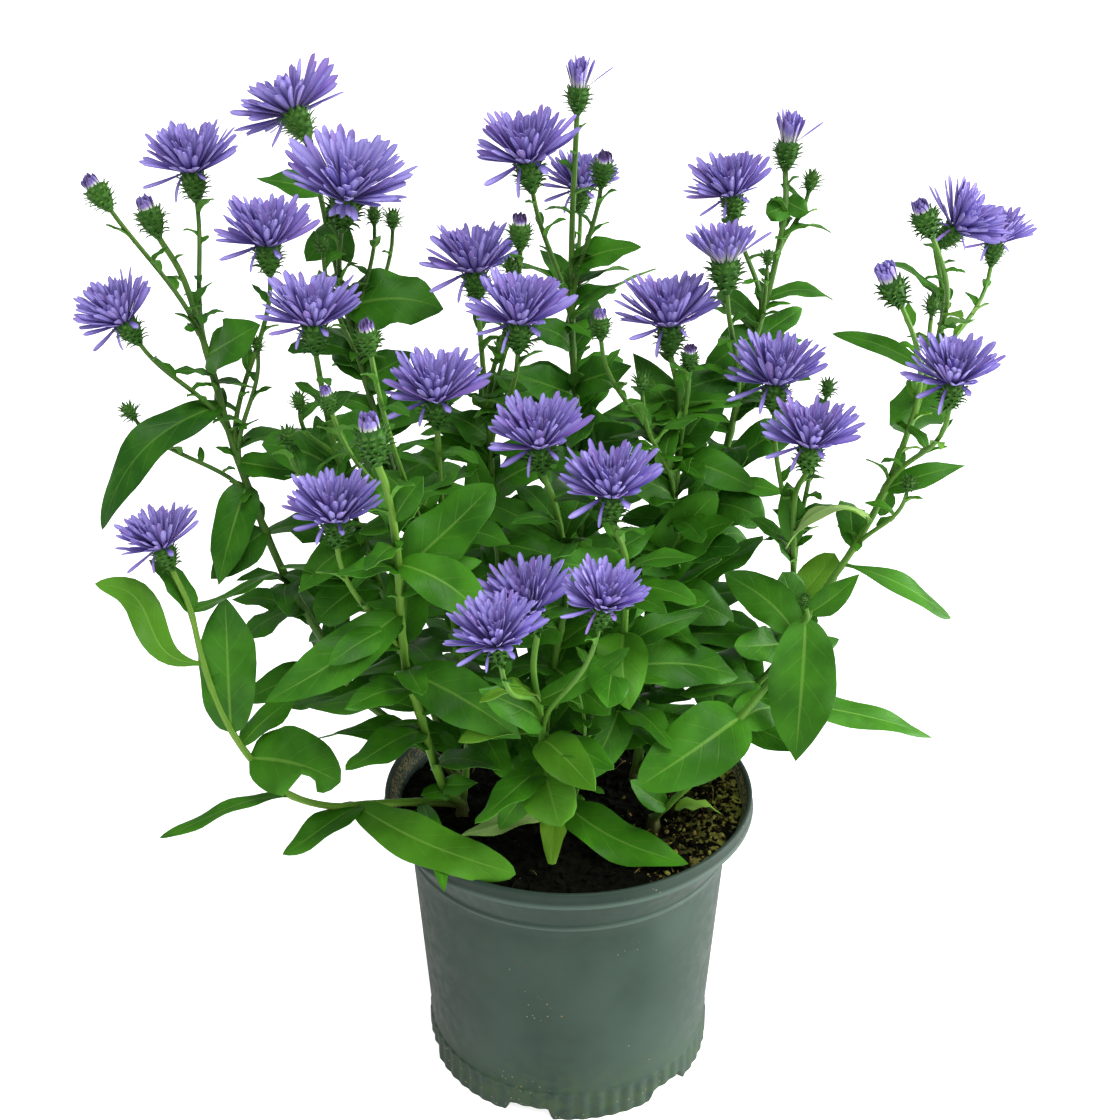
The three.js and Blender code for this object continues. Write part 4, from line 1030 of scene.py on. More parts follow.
shoots = [
    {
        "plant": "left", "girth": (1.9, 1.1), "tones": (-0.15, 0.45, 0.15), "airy": True,
        "filling": (122, 196, 13),
        "route": [
            (-57, 8, 122), (-74, 5, 141), (-84, 1, 165), (-93, -3, 188), (-100, -5, 212), (-107, -2, 236),
            (-113, 4, 260), (-120, 11, 284),
        ],
        "heads": [
            ("tipped", (-130, 15, 305), None, (-0.3, 0, 1), 0.95),
            ("tipped", (-140, -4, 316), 262, (-0.6, 0, 1), 0.85),
            ("bloom", (-119, 32, 313), 262, (-0.05, 0, 1), 0.98),
            ("bloom", (-133, -14, 278), 236, (-0.5, -0.15, 1), 0.86),
            ("bud", (-136, -12, 250), 214, (-0.5, -0.2, 1), 0.6),
            ("bloom", (-93, 10, 295), 228, (0, 0, 1), 0.98), ("bud", (-96, -4, 269), 226, (0, 0, 1), 0.5),
        ],
        "leaves": [
            (205, (20, 4, -6), 13, 4, up), (175, (-20, -7, -7), 12, 4, up),
            (262, (20, -14, 14), 15, 1.5, frontUp, 0.25), (256, (-13, -4, 2), 5, 1, up),
            (254, (14, -5, 0), 5, 1, up), (247, (-35, -25, -32), 12.5, 10, frontUp, -0.25),
            (229, (22, -3, -2), 9, 3, frontUp), (233, (30, 8, 1), 12, 4, up),
            (222, (-9, -14, -29), 13, 3, front, 0.2, 0, None, 0, (0.32, 0.35, 0.8, 0)),
            (206, (-17, -9, -13), 12, 3, frontUp), (186, (-16, -6, 4), 6, 3, up),
            (190, (16, -6, -8), 8, 3, up), (168, (-18, 22, 4), 12, 4, up), (150, (-8, 34, -4), 13, 5, up),
        ],
    },
    {
        "plant": "left", "girth": (1.5, 1), "tones": (-0.1, 0.55, 0.25), "filling": (128, 240, 8),
        "whorl": (132, 238, 7, 20, 42, 24),
        "route": [
            (-46, 6, 128), (-53, 0, 155), (-61, -7, 185), (-68, -13, 215), (-73, -18, 245),
        ],
        "heads": [
            ("bloom", (-75, -24, 280), None, (0, 0, 1), 0.95),
            ("bud", (-79, -36, 262), 232, (0, -0.1, 1), 0.55),
            ("bud", (-81, -46, 255), 218, (0, -0.1, 1), 0.6),
        ],
        "leaves": [
            (230, (-25, 4, 8), 13, 4, frontUp), (205, (-19, -17, -10), 13, 4, frontUp),
            (190, (-19, -12, -9), 14, 4, frontUp),
        ],
    },
    {
        "plant": "front_left", "girth": (1.9, 1.2), "tones": (0.25, 0.75, 0.65), "airy": True,
        "filling": (128, 240, 10),
        "route": [
            (-42, -18, 116), (-46, -28, 139), (-48, -38, 160), (-50, -46, 176), (-50, -56, 198),
            (-49, -66, 226), (-50, -74, 248),
        ],
        "heads": [
            ("tipped", (-53, -80, 268), None, (-0.15, 0, 1), 1.05),
            ("bloom", (-66, -66, 236), 180, (0, -0.05, 1), 0.88),
        ],
        "leaves": [
            (203, (-38, -19, -19), 14, 6, frontUp), (158, (-39, 16, -8), 12, 4, up),
            (152, (-36, 4, -9), 4, 2, up), (118, (12, -9, 7), 7, 2, frontUp),
            (112, (-9, -8, 5), 6, 2, frontUp), (177, (35, -8, -19), 16, 5, frontUp),
            (218, (27, 10, 24), 16, 2, frontUp, 0.3), (222, (26, -8, -14), 13, 5, frontUp, 0.6),
            (238, (9, -2, 14), 7, 1, front), (232, (-8, 10, 13), 6, 2, up), (190, (-4, 34, 10), 13, 4, up),
        ],
    },
    {
        "plant": "front_left", "girth": (1.6, 1), "tones": (0.4, 0.85, 0.72), "airy": True,
        "route": [
            (-49, -15, 108.5), (-63, -20, 111.5), (-80, -27, 115), (-94, -32, 124), (-104, -34, 139),
            (-111, -36, 157), (-115, -36, 175), (-117, -37, 194),
        ],
        "heads": [
            ("bloom", (-124, -34, 213), None, (-0.3, 0, 1), 0.82),
        ],
        "leaves": [
            (174, (-32, 4, 26), 10, 2, frontUp, 0.82, 0, None, 0, (0.6, 1.0, 0.6, 0.1)),
            (149, (1, 4, 46), 17, 2, front, 0.3, 0, None, 0, (0.55, 0.38, 0.85, 0)),
            (166, (2, 10, 17), 6, 1, up, 0.1), (193, (24, 16, 6), 9, -2, up, 0.55),
            (192, (-14, 10, 14), 8, 2, up), (138, (30, -8, -4), 21, 2, frontUp, 0.6, 0.75),
            (143, (16, 22, 8), 10, 3, up), (122, (-41, -14, -7), 6, 6, up),
            (112.5, (-25, -20, -6), 11, 4, up), (113, (55, -33, -4), 14.5, 3, lit, 0.79, 0, 0.5, -0.06),
            (109, (11, -46, -3), 7, 3, up, 0.7),
        ],
    },
    {
        "plant": "front_left", "girth": (1.6, 1.1), "tones": (0.3, 0.8, 0.6), "filling": (130, 226, 9),
        "route": [
            (-35, -8, 122), (-34, -10, 148), (-38, -20, 188), (-39, -30, 226),
        ],
        "heads": [
            ("bloom", (-39, -36, 261), None, (0, -0.05, 1), 0.95),
            ("tipped", (-55, -60, 289), 176, (-0.1, -0.1, 1), 0.75),
            ("tipped", (-67, -60, 271), 196, (-0.2, -0.1, 1), 0.6),
        ],
        "leaves": [
            (204, (-11, -12, 26), 12, 4, frontUp), (140, (-8, 36, 4), 14, 4, up),
            (140, (21, -15, -26), 12, 3, frontUp, -0.1), (156, (-36, -11, 6), 13, 5, up),
            (176, (14, -32, 6), 14, 4, frontUp), (196, (-26, 14, 8), 12, 4, up),
            (214, (21, -19, 6), 12, 3, frontUp), (220, (-24, -14, 2), 10, 3, up),
        ],
    },
    {
        "plant": "middle", "girth": (1.6, 1.1), "tones": (0.0, 0.75, 0.4), "filling": (134, 226, 8),
        "whorl": (134, 228, 7, 60, 46, 26),
        "route": [
            (-8, -13, 130), (-5, -22, 165), (-1, -28, 198), (-4, -36, 226),
        ],
        "heads": [
            ("bloom", (-9, -42, 249), None, (-0.1, -0.1, 1), 0.95),
        ],
        "leaves": [
            (180, (-21, -15, 5), 14, 4, frontUp), (165, (18, -18, -7), 14, 4, frontUp),
        ],
    },
    {
        "plant": "middle", "girth": (1.7, 1.1), "tones": (0.3, 0.8, 0.55), "filling": (132, 212, 9),
        "route": [
            (8, -13, 122), (17, -20, 149), (17, -32, 180), (17, -42, 211),
        ],
        "heads": [
            ("bloom", (12, -48, 236), None, (-0.05, -0.05, 1), 0.95),
        ],
        "leaves": [
            (200, (-21, -10, 15), 13, 4, frontUp), (152, (-14, -19, -21), 13, 4, frontUp),
            (184, (1, -24, -14), 15, 4, frontUp), (168, (38, 8, -8), 15, 4, frontUp),
            (119, (12, -14, 42), 8, 1, front), (140, (26, -24, 6), 10, 3, up),
            (206, (-22, 4, 8), 12, 3, up), (196, (24, -14, 8), 12, 3, up), (130, (32, 16, 8), 14, 5, up),
            (172, (-6, -34, 2), 14, 5, frontUp), (158, (-6, 40, 8), 15, 5, up),
        ],
    },
    {
        "plant": "middle", "girth": (1.7, 1.1), "tones": (0.4, 0.9, 0.5), "airy": True,
        "filling": (126, 180, 10),
        "route": [
            (-6, -22, 118), (-8, -36, 137), (-9, -46, 160), (-11, -54, 182),
        ],
        "heads": [
            ("bloom", (-12, -60, 205), None, (-0.3, -0.2, 1), 0.95),
            ("bloom", (-20, -92, 211), 160, (-0.1, -0.2, 1), 0.84),
            ("bloom", (9, -76, 214), 150, (0.15, -0.1, 1), 0.8),
        ],
        "leaves": [
            (158, (-18, -21, 24), 12, 4, frontUp),
            (108, (43, -32, -4), 15, 4, lit, 0.68, 0, None, -0.1, (0.5, 0.6, 0.8, 0)),
            (137, (5, -22, -9), 18, 4, front, 0.8, 0, None, 0, (0.5, 0.42, 0.42, 0)),
            (108, (-2, -29, -10), 9, 3, frontUp, 0.95), (168, (28, 2, 18), 7, 1, frontUp),
            (134, (-15, -8, -18), 11, 3, frontUp), (112, (-31, -18, -4), 10, 1, down, 1.0),
            (150, (16, -32, 2), 13, 4, frontUp),
        ],
    },
    {
        "plant": "middle", "girth": (1.6, 1), "tones": (-0.1, 0.65, 0.3), "filling": (130, 250, 7),
        "whorl": (140, 256, 8, 40, 46, 26),
        "route": [
            (-12, 0, 130), (-20, 5, 162), (-24, 8, 195), (-26, 10, 232),
        ],
        "heads": [
            ("bloom", (-30, 24, 283), None, (-0.05, 0.05, 1), 1),
            ("bloom", (-15, -22, 280), 222, (0.05, -0.05, 1), 0.98),
            ("tipped", (-15, 3, 303), 236, (0, 0, 1), 0.8),
            ("bud", (-18, 1, 292), 230, (-0.1, -0.05, 1), 0.6),
        ],
        "leaves": [
            (215, (22, -7, 14), 12, 4, frontUp), (200, (-7, -8, 34), 12, 4, frontUp),
            (232, (-14, -2, 10), 11, 3, frontUp, 0.1), (240, (11, -1, 3), 10, 3, frontUp, 0),
        ],
    },
    {
        "plant": "middle", "girth": (1.1, 0.5), "tones": (0.3, 0.7, 0.5), "airy": True, "leafletsFrom": 110,
        "leafletSpacing": 3.2,
        "route": [
            (2, -22, 116), (4, -32, 134), (5, -38, 152), (3, -41, 166),
        ],
    },
    {
        "plant": "back", "girth": (1.9, 1.1), "tones": (-0.1, 0.65, 0.2), "filling": (118, 280, 7),
        "whorl": (150, 240, 7, 60, 46, 34),
        "route": [
            (0, 29, 140), (4, 33, 182), (3, 38, 222), (1, 44, 258), (1, 51, 290),
        ],
        "heads": [
            ("opening", (3, 58, 335), None, (0.05, 0, 1), 0.9),
            ("bloom", (4, 72, 299), 252, (0, 0.1, 1), 0.86),
            ("tipped", (11, 42, 314), 262, (0.1, -0.1, 1), 0.85),
            ("bloom", (-13, 28, 317), 256, (-0.15, -0.1, 1), 1.04),
        ],
        "leaves": [
            (186, (-26, -25, 13), 14, 5, frontUp), (170, (21, -22, 23), 13, 5, frontUp),
            (215, (20, -15, 12), 12, 4, frontUp), (232, (-19, -10, 5), 12, 4, frontUp),
            (278, (23, -6, 9), 11, 3, frontUp), (272, (20, 12, 3), 7, 3, up), (268, (-26, 8, 10), 9, 5, up),
            (250, (6, 30, 12), 11, 4, up), (236, (-21, -10, 12), 12, 3, frontUp, 0.1),
            (240, (19, -7, 9), 13, 3, frontUp, 0.1), (252, (-14, -3, 9), 9, 3, frontUp, 0.05),
            (225, (13, -2, 0), 12, 3, frontUp, 0), (262, (28, 1, 17), 8, 3, up, 0.2),
        ],
    },
    {
        "plant": "back", "girth": (1.8, 1), "tones": (-0.15, 0.6, 0.1), "filling": (118, 276, 7),
        "whorl": (142, 236, 6, 60, 44, 30),
        "route": [
            (-24, 30, 132), (-44, 33, 166), (-60, 40, 205), (-71, 47, 245), (-78, 53, 275),
        ],
        "heads": [
            ("wide", (-91, 64, 326), None, (-0.6, 0.45, 1), 1.12),
            ("full", (-71, 32, 305), 256, (0.22, -0.18, 1), 1.2),
            ("bud", (-60, 66, 292), 240, (0.05, 0, 1), 0.7), ("bud", (-65, 54, 296), 248, (0, 0, 1), 0.65),
            ("bud", (-78, 22, 294), 238, (0, -0.1, 1), 0.6),
        ],
        "leaves": [
            (205, (21, -18, 18), 13, 4, frontUp), (215, (-18, -12, 16), 13, 4, frontUp),
            (264, (33, 2, -1), 20, 4, frontUp, 0.15), (274, (-14, 12, -14), 10, 4, up),
            (246, (-20, 22, 6), 12, 4, up), (302, (-19, -8, 6), 10, 3, frontUp, 0.35),
            (286, (-6, -16, -3), 9, 3, front, 0.45), (292, (10, -19, -9), 10, 3, front, 0.35),
            (240, (16, 0, 10), 13, 3, frontUp, 0), (226, (22, -4, 10), 13, 3, frontUp, -0.1),
        ],
    },
    {
        "plant": "right", "girth": (1.5, 1.05), "tones": (0.35, 0.9, 0.55), "airy": True,
        "route": [
            (34, -25, 115), (41, -31, 128), (51, -33, 147), (64, -32, 166), (76, -28, 189), (90, -22, 210),
            (99, -18, 229), (107, -15, 257), (111, -15, 281),
        ],
        "heads": [
            ("bloom", (111, -18, 307), None, (0.85, -0.2, 1), 0.82),
            ("bloom", (134, 22, 293), 256, (0.1, 0.2, 1), 0.76),
            ("tipped", (97, -37, 316), 272, (-0.5, -0.1, 1), 0.85),
            ("budding", (89, -40, 297.5), 240, (-0.55, -0.1, 1), 0.9),
            ("bud", (104, -30, 289), 256, (0, -0.1, 1), 0.6),
            ("bloom", (107, -50, 271), 224, (0, -0.1, 1), 0.84),
            ("bud", (101, -36, 236), 206, (0.1, -0.1, 1), 0.5),
            ("bud", (72, -36, 197), 184, (-0.3, -0.2, 1), 0.42),
        ],
        "leaves": [
            (153, (-33, -16, -16), 21, 6, frontUp, 0.5, 0, 0.36),
            (151, (15, 14, -4), 13, 3, frontUp, 0.7, 0, 0.36),
            (186, (-3, -18, -41), 20, 3, front, 0.4, 0, None, 0, (0.5, 0.4, 0.95, 0)),
            (160, (60, 10, -21), 9, 5, frontUp, 0.72, 0, None, 0, (0.45, 0.5, 0.8, 0)),
            (203, (36, 0, -19), 8.5, 8, frontUp, 0.5, 0, None, 0, (0.62, 1.2, 0.7, 0)),
            (217, (-27, -8, -7), 9.5, -9, down, 1.0), (188, (14, -3, 15), 8, 2, front, 0.6),
            (226, (-1, 0, -9), 6, 1, front, 0.5), (181, (-22, 16, 14), 13, 3, frontUp),
            (263, (-29, 6, 10), 5.5, 1, frontUp, 0.6),
            (261, (-2, 7, -21), 17, 2, front, 0.62, 0, None, 0, (0.5, 0.35, 0.4, 0)),
            (226, (24, 0, 8), 7.5, 4, frontUp, 0.7), (283, (-18, 7, 12), 7.5, 3, up, 0.5),
            (276, (12, 10, 0), 7, 2, up), (113, (-13, -9, 16), 7, 2, frontUp, 0.4),
            (126, (10, 24, 12), 12, 4, up), (208, (2, 22, 6), 9, 4, up),
        ],
    },
    {
        "plant": "back_right", "girth": (1.8, 1.1), "tones": (-0.05, 0.72, 0.25),
        "filling": (118, 280, 7.5), "whorl": (140, 244, 7, 60, 46, 32),
        "route": [
            (32, 13, 140), (42, 15, 177), (51, 21, 217), (58, 26, 250), (65, 32, 275), (70, 41, 298),
        ],
        "heads": [
            ("opening", (71, 50, 319), None, (0.05, 0, 1), 0.95),
            ("bloom", (51, 26, 307), 264, (-0.2, -0.05, 1), 0.86),
            ("bud", (79, 46, 309), 284, (0.2, 0, 1), 0.7), ("bud", (62, 16, 291), 262, (0, -0.1, 1), 0.5),
            ("brush", (47, 0, 293), 234, (-0.1, -0.05, 1), 1.1),
        ],
        "leaves": [
            (172, (-12, -29, -11), 14, 4, frontUp),
            (207, (-25, -31, -14), 19, 3, front, -0.1, 0, None, 0, (0.5, 0.5, 0.7, 0)),
            (163, (31, -14, -6), 12, 4, up), (225, (-14, -22, -11), 13, 4, frontUp),
            (262, (-17, -3, -13), 12, 3, frontUp, 0.1), (248, (-26, -6, -6), 12, 3, frontUp, 0),
            (205, (17, -9, -2), 14, 4, frontUp), (240, (21, 0, -7), 11, 4, up), (291, (17, 4, 1), 6, 3, up),
            (301, (-7, -5, -2), 7.5, 1, front, 0.4, 0, 0.3), (302, (7, -3, -3), 6.5, 1, front, 0.4, 0, 0.3),
            (262, (-22, 12, 4), 8, 4, up), (252, (20, 14, 4), 10, 4, up),
        ],
    },
    {
        "plant": "back_right", "girth": (1.6, 1.1), "tones": (-0.05, 0.75, 0.35), "filling": (124, 254, 7),
        "whorl": (134, 190, 4, 60, 42, 36), "leafletsFrom": 176, "leafletSpacing": 4.5,
        "route": [
            (27, 6, 140), (31, 1, 180), (34, 0, 215), (35, 0, 245),
        ],
        "heads": [
            ("bloom", (31, 2, 272), None, (-0.05, 0, 1), 1),
            ("tipped", (36, -16, 269), 226, (0, -0.1, 1), 0.6),
            ("tipped", (9, -14, 279), 216, (-0.05, 0, 1), 0.7),
            ("bud", (21, -30, 266), 210, (-0.05, -0.1, 1), 0.6),
        ],
        "leaves": [
            (187, (15, -9, 34), 15, 3, frontUp), (215, (-21, -10, 14), 12, 4, frontUp),
            (196, (19, -16, 18), 17, 3, frontUp), (228, (24, -8, -6), 11, 4, frontUp),
            (232, (-22, 6, 2), 11, 4, up), (180, (24, -4, -8), 14, 4, frontUp),
            (238, (-15, 10, 23), 11, 3, frontUp, 0.15), (230, (15, 6, 19), 12, 3, frontUp, 0.2),
        ],
    },
    {
        "plant": "back_right", "girth": (1.5, 1), "tones": (0.2, 0.7, 0.4), "airy": True,
        "filling": (132, 180, 10),
        "route": [
            (42, 2, 128), (60, -8, 148), (72, -12, 168), (72, -14, 192), (70, -18, 222),
        ],
        "heads": [
            ("bloom", (71, -34, 246), None, (0.05, -0.05, 1), 0.9),
            ("bloom", (64, -4, 255), 196, (0, 0.05, 1), 1), ("bud", (80, -6, 256), 190, (0.1, 0, 1), 0.6),
        ],
        "leaves": [
            (150, (-13, -12, -4), 13, 4, frontUp),
            (184, (-5, -6, 14), 10, 2, front, 0.4, 0, None, 0, (0.55, 0.5, 0.5, 0)),
            (184, (13, 4, 16), 11, 2, front, 0.9, 0, None, 0, (0.55, 0.5, 0.5, 0)),
            (182, (1, -6, -20), 11, 2, front, 0.4, 0, None, 0, (0.5, 0.5, 0.6, 0)),
            (206, (-3, 3, 20), 8, 2, front), (214, (14, 4, 4), 5, 2, up), (198, (-14, 6, 14), 8, 3, up),
            (188, (5, -6, -16), 10, 2, front), (150, (-8, 30, 4), 13, 4, up), (136, (2, 36, 2), 14, 4, up),
            (168, (-20, -19, 10), 12, 4, frontUp),
        ],
    },
]

# A leaf that lies on the soil at the right: its place, reach, width, arch, face and tone
fallenLeaf = ((37, -10, 102.2), (16, -4, 0.8), 9, 2, up, 1.05)
plantSeed = 11

# The stump under a plant's stems, which goes down into the soil
crownLook = {
    "radius": 3.1, "from": 88, "to": 105, "rings": 7, "sides": 16, "narrowing": 0.5, "tone": 0.1,
    "wobble": ((3, 0.1), (5, 0.05)),  # lumps round it, and their height as a share of the radius
}


def addCrown(draft, crown, rng):
    look = crownLook
    heights = np.linspace(look["from"], look["to"], look["rings"])
    turn = fullTurn(look["sides"])
    (broadLumps, broad), (fineLumps, fine) = look["wobble"]
    wobble = 1 + broad * np.sin(turn * broadLumps + rng.uniform(0, 6)) + fine * np.sin(turn * fineLumps)
    rings = []
    for i, height in enumerate(heights):
        radius = look["radius"] * (1 - look["narrowing"] * (i / (look["rings"] - 1)) ** 3) * wobble
        rings.append(ringAt(turn, radius, height) + (*crown, 0))
    addRings(draft, np.array(rings), heights / 10, {"tone": look["tone"]})


# Draws a head's cup and its rays, and returns the number of the plant's next open head
def drawHead(drafts, name, number, head, rng):
    kind, at, _, lean, size = head
    basis = headBasis(lean)
    at = np.array(at, float)
    addCup(drafts["cups"], at, basis, size, kind == "bud", rng)
    if kind == "tipped":
        addRays(drafts["tips"], at, basis, size, "tuft", rng.uniform(*rayLook["tuftYoung"]), rng)
    if kind in ("bud", "tipped"):
        return number
    rays = newDraft("tone", "young")
    addRays(rays, at, basis, size, kind, rayLook["young"].get(kind, 0.0), rng)
    node, piece = "bloom", "rays"
    if kind in ("opening", "brush", "budding"):
        node, piece = "opening_bloom", "openingRays"
    makePiece(f"{piece}_{name}_{number}", rays, rayMaterial, [f"{node}_{name}_{number}"])
    return number + 1


# The shoot's centre line, from the crown to the head at its end
def shootPath(shoot):
    base = (*crowns[shoot["plant"]], stemLook["soilHeight"])
    route = [np.array(base, float) - (0, 0, stemLook["rootDepth"]), base, *shoot["route"]]
    for _, at, _, lean, size in shoot.get("heads", [])[:1]:
        route.append(np.array(at, float) - unit(np.array(lean, float)) * stemLook["headLength"] * size)
    return smoothRoute(route, stemLook["step"])


def drawShoot(drafts, name, number, shoot, rng):
    path = shootPath(shoot)
    leaves = list(shoot.get("leaves", []))
    if "whorl" in shoot:
        leaves += whorlLeaves(*shoot["whorl"])
    if "filling" in shoot:
        others = np.concatenate([p for p in shootPaths if not np.array_equal(p, path)])
        leaves += fillingLeaves(shoot["filling"], path, others, rng)
    joints = [onPath(path, leaf[0])[0] for leaf in leaves]
    *tones, stemTone = shoot["tones"]
    radii = stemRadii(path, shoot["girth"], joints)
    addTube(drafts["stems"], path, radii, stemLook["sides"], {"tone": stemTone})
    for joint, leaf in zip(joints, leaves):
        tone = leaf[5] if len(leaf) > 5 else rng.uniform(*tones)
        addLeaf(drafts["leaves"], joint, *leaf[1:5], tone, rng, *leaf[6:])
    lowest = shoot.get("leafletsFrom", leafletLook["from"])
    spacing = shoot.get("leafletSpacing", leafletLook["spacing"])
    airy = shoot.get("airy", False)
    addLeaflets(drafts["leaves"], path, lowest, spacing, tones, airy, rng)
    lowest, spacing = leafletLook["branchFrom"], leafletLook["spacing"]
    for head in shoot.get("heads", []):
        _, at, height, lean, size = head
        if height is not None:
            lean = unit(np.array(lean, float))
            end = np.array(at, float) - lean * stemLook["headLength"] * size
            branch = branchPath(*onPath(path, height), end, lean)
            girth = np.linspace(*stemLook["branchGirth"], len(branch)) * lerp(stemLook["smallHead"], 1, size)
            addTube(drafts["stems"], branch, girth, stemLook["branchSides"], {"tone": stemTone})
            addLeaflets(drafts["leaves"], branch, lowest, spacing, tones, airy, rng)
        number = drawHead(drafts, name, number, head, rng)
    return number


def drawPlant(name, rng):
    drafts = {
        "leaves": newDraft("tone", "under"), "stems": newDraft("tone"), "cups": newDraft("tone"),
        "tips": newDraft("tone", "young"),
    }
    addCrown(drafts["stems"], crowns[name], rng)
    if name == "right":
        place, *leaf = fallenLeaf
        addLeaf(drafts["leaves"], np.array(place), *leaf, rng)
    number = 1
    for shoot in shoots:
        if shoot["plant"] == name:
            number = drawShoot(drafts, name, number, shoot, rng)
    nodes = [f"plant_{name}"]
    makePiece(f"leaves_{name}", drafts["leaves"], leafMaterial, nodes, 60)
    makePiece(f"stems_{name}", drafts["stems"], stemMaterial, nodes)
    makePiece(f"cups_{name}", drafts["cups"], bractMaterial, nodes, 60)
    if drafts["tips"]["count"]:
        makePiece(f"budTips_{name}", drafts["tips"], rayMaterial, nodes)
    print("plant drawn:", name)


shootPaths = [shootPath(shoot) for shoot in shoots]
for seed, plantName in enumerate(crowns):
    drawPlant(plantName, random.Random(plantSeed + seed))


# Pot: a shell turned round its axis, ribbed round the foot, with notches and drain holes
potLook = {
    "columns": 360,
    "ribCount": 60,
    "ribTop": 11.5,
    "ribFades": (-0.4, 0.7, 10.6, 12.5),  # heights over which the ribs start and end
    "ribDepth": 0.9,
    "ribRound": 0.75,
    "notchCount": 6,
    "notchTurn": -106,
    "notchHeight": 4.2,
    "notchWidth": 17,
    "notchCorner": 1.6,
    "notchEase": 0.25,
    "notchRadius": 51,
    # radius and height round the section, from the floor's underside over the foot and the lip
    # to the floor's top. The outer wall starts at the foot's outer edge.
    "innerFoot": ((47.5, 5.0), (47.6, 2.5), (47.75, 0.7), (48.0, 0.2), (48.5, 0.0)),
    "outerFoot": (
        (51.0, 0.0), (51.5, 0.15), (51.75, 0.6), (51.8, 1.6), (51.8, 4.2), (51.8, 7.0), (51.8, 9.6),
        (51.8, 10.9), (51.75, 11.4), (51.5, 11.8), (51.15, 12.1), (51.0, 12.6),
    ),
    "wallRows": 18,
    "collar": (
        (55.9, 85.7), (56.1, 86.0), (56.75, 86.3), (57.05, 86.8), (57.0, 87.3), (56.55, 87.9), (56.75, 88.6),
        (58.4, 91.7), (60.2, 95.1), (61.9, 98.5), (62.6, 99.8), (63.3, 100.4), (64.3, 100.7), (64.9, 101.05),
        (65.0, 101.5), (64.9, 101.9), (64.4, 102.5), (64.35, 103.2), (64.45, 104.6), (64.5, 105.5),
        (64.4, 106.05), (64.1, 106.4), (63.7, 106.5), (63.3, 106.44), (62.95, 106.2), (62.7, 105.7),
        (62.5, 104.9), (61.6, 102.8), (60.6, 100.3),
    ),
    "inside": ((58.6, 96.0), (54.4, 86.5), (53.2, 68.0), (51.0, 35.0), (49.4, 7.0), (46.0, 7.0)),
    "floor": (5.0, 7.0),
    "floorRadius": 47.8,
    "drainCount": 4,
    "drainRadius": 4,
    "drainCircle": 34,
    "drainSides": 48,
    "drainRings": (0, 0.33, 0.66, 1),  # shares of the way from a hole to its quarter's edge
    # the boss in the floor's middle, radius and height
    "seat": ((11.2, 7.0), (11.0, 5.0), (10.4, 4.2), (9.3, 0.3), (9.0, 0.0), (4.5, 0.0)),
    "seatRadius": 11.0,
    "seatSides": 96,
}


def notchRise(look, angles):
    half = look["notchWidth"] / 2
    pitch = 2 * math.pi / look["notchCount"]
    turned = angles - math.radians(look["notchTurn"])
    away = np.abs((turned + pitch / 2) % pitch - pitch / 2) * look["notchRadius"]
    return look["notchHeight"] * (1 - smooth(away, half - look["notchCorner"], half + look["notchEase"]))


def drawPotShell(draft, look):
    angles = fullTurn(look["columns"])
    rise = notchRise(look, angles)
    crest = (0.5 + 0.5 * np.cos(angles * look["ribCount"])) ** look["ribRound"]
    footTop = look["innerFoot"][0][1]
    rows = [(radius, rise + height * (1 - rise / footTop)) for radius, height in look["innerFoot"]]
    for radius, height in look["outerFoot"]:
        fade = smooth(height, *look["ribFades"][:2]) * (1 - smooth(height, *look["ribFades"][2:]))
        share = min(height / look["ribTop"], 1)
        rows.append((radius - look["ribDepth"] * (1 - crest) * fade, height + rise * (1 - share)))
    low, high = np.array(look["outerFoot"][-1]), np.array(look["collar"][0])
    rows += [lerp(low, high, share) for share in np.linspace(0, 1, look["wallRows"] + 2)[1:-1]]
    rows += [*look["collar"], *look["inside"]]
    grid = addPoints(draft, np.array([ringAt(angles, *row) for row in rows]), {})
    joinRings(draft, grid)


# One quarter of the floor, from the round hole out to the quarter's edges, and the hole's wall
def drawFloorQuarter(draft, look, middle):
    turn = fullTurn(look["drainSides"])
    flat = np.stack([np.cos(turn), np.sin(turn)], -1)
    hole = flat * look["drainRadius"] + (look["drainCircle"], 0)
    # the quarter's edge, met by the ray from the hole's middle in radius and angle
    inner, outer = look["seatRadius"], look["floorRadius"]
    reach = 1 / np.maximum(np.abs(flat[:, 0]), np.abs(flat[:, 1]))
    radius = (inner + outer) / 2 + flat[:, 0] * reach * (outer - inner) / 2
    angle = flat[:, 1] * reach * math.pi / look["drainCount"]
    edge = np.stack([radius * np.cos(angle), radius * np.sin(angle)], -1)
    rings = [hole * (1 - t) + edge * t for t in look["drainRings"]]
    spin = np.array([[math.cos(middle), -math.sin(middle)], [math.sin(middle), math.cos(middle)]])
    sheets = []
    for height, order in zip(look["floor"], (rings[::-1], rings)):
        level = np.full((len(turn), 1), height)
        sheets += [np.concatenate([ring @ spin.T, level], 1) for ring in order]
    joinRings(draft, addPoints(draft, np.array(sheets), {}))


def drawPotFloor(draft, look):
    for quarter in range(look["drainCount"]):
        drawFloorQuarter(draft, look, (quarter + 0.5) * 2 * math.pi / look["drainCount"])
    turn = fullTurn(look["seatSides"])
    grid = addPoints(draft, np.array([ringAt(turn, *row) for row in look["seat"]])[::-1], {})
    joinRings(draft, grid)
    closeEnds(draft, grid)


pot = newDraft()
drawPotShell(pot, potLook)
drawPotFloor(pot, potLook)
makePiece("potShell", pot, potMaterial, ["pot"], 40)
print("pot drawn")


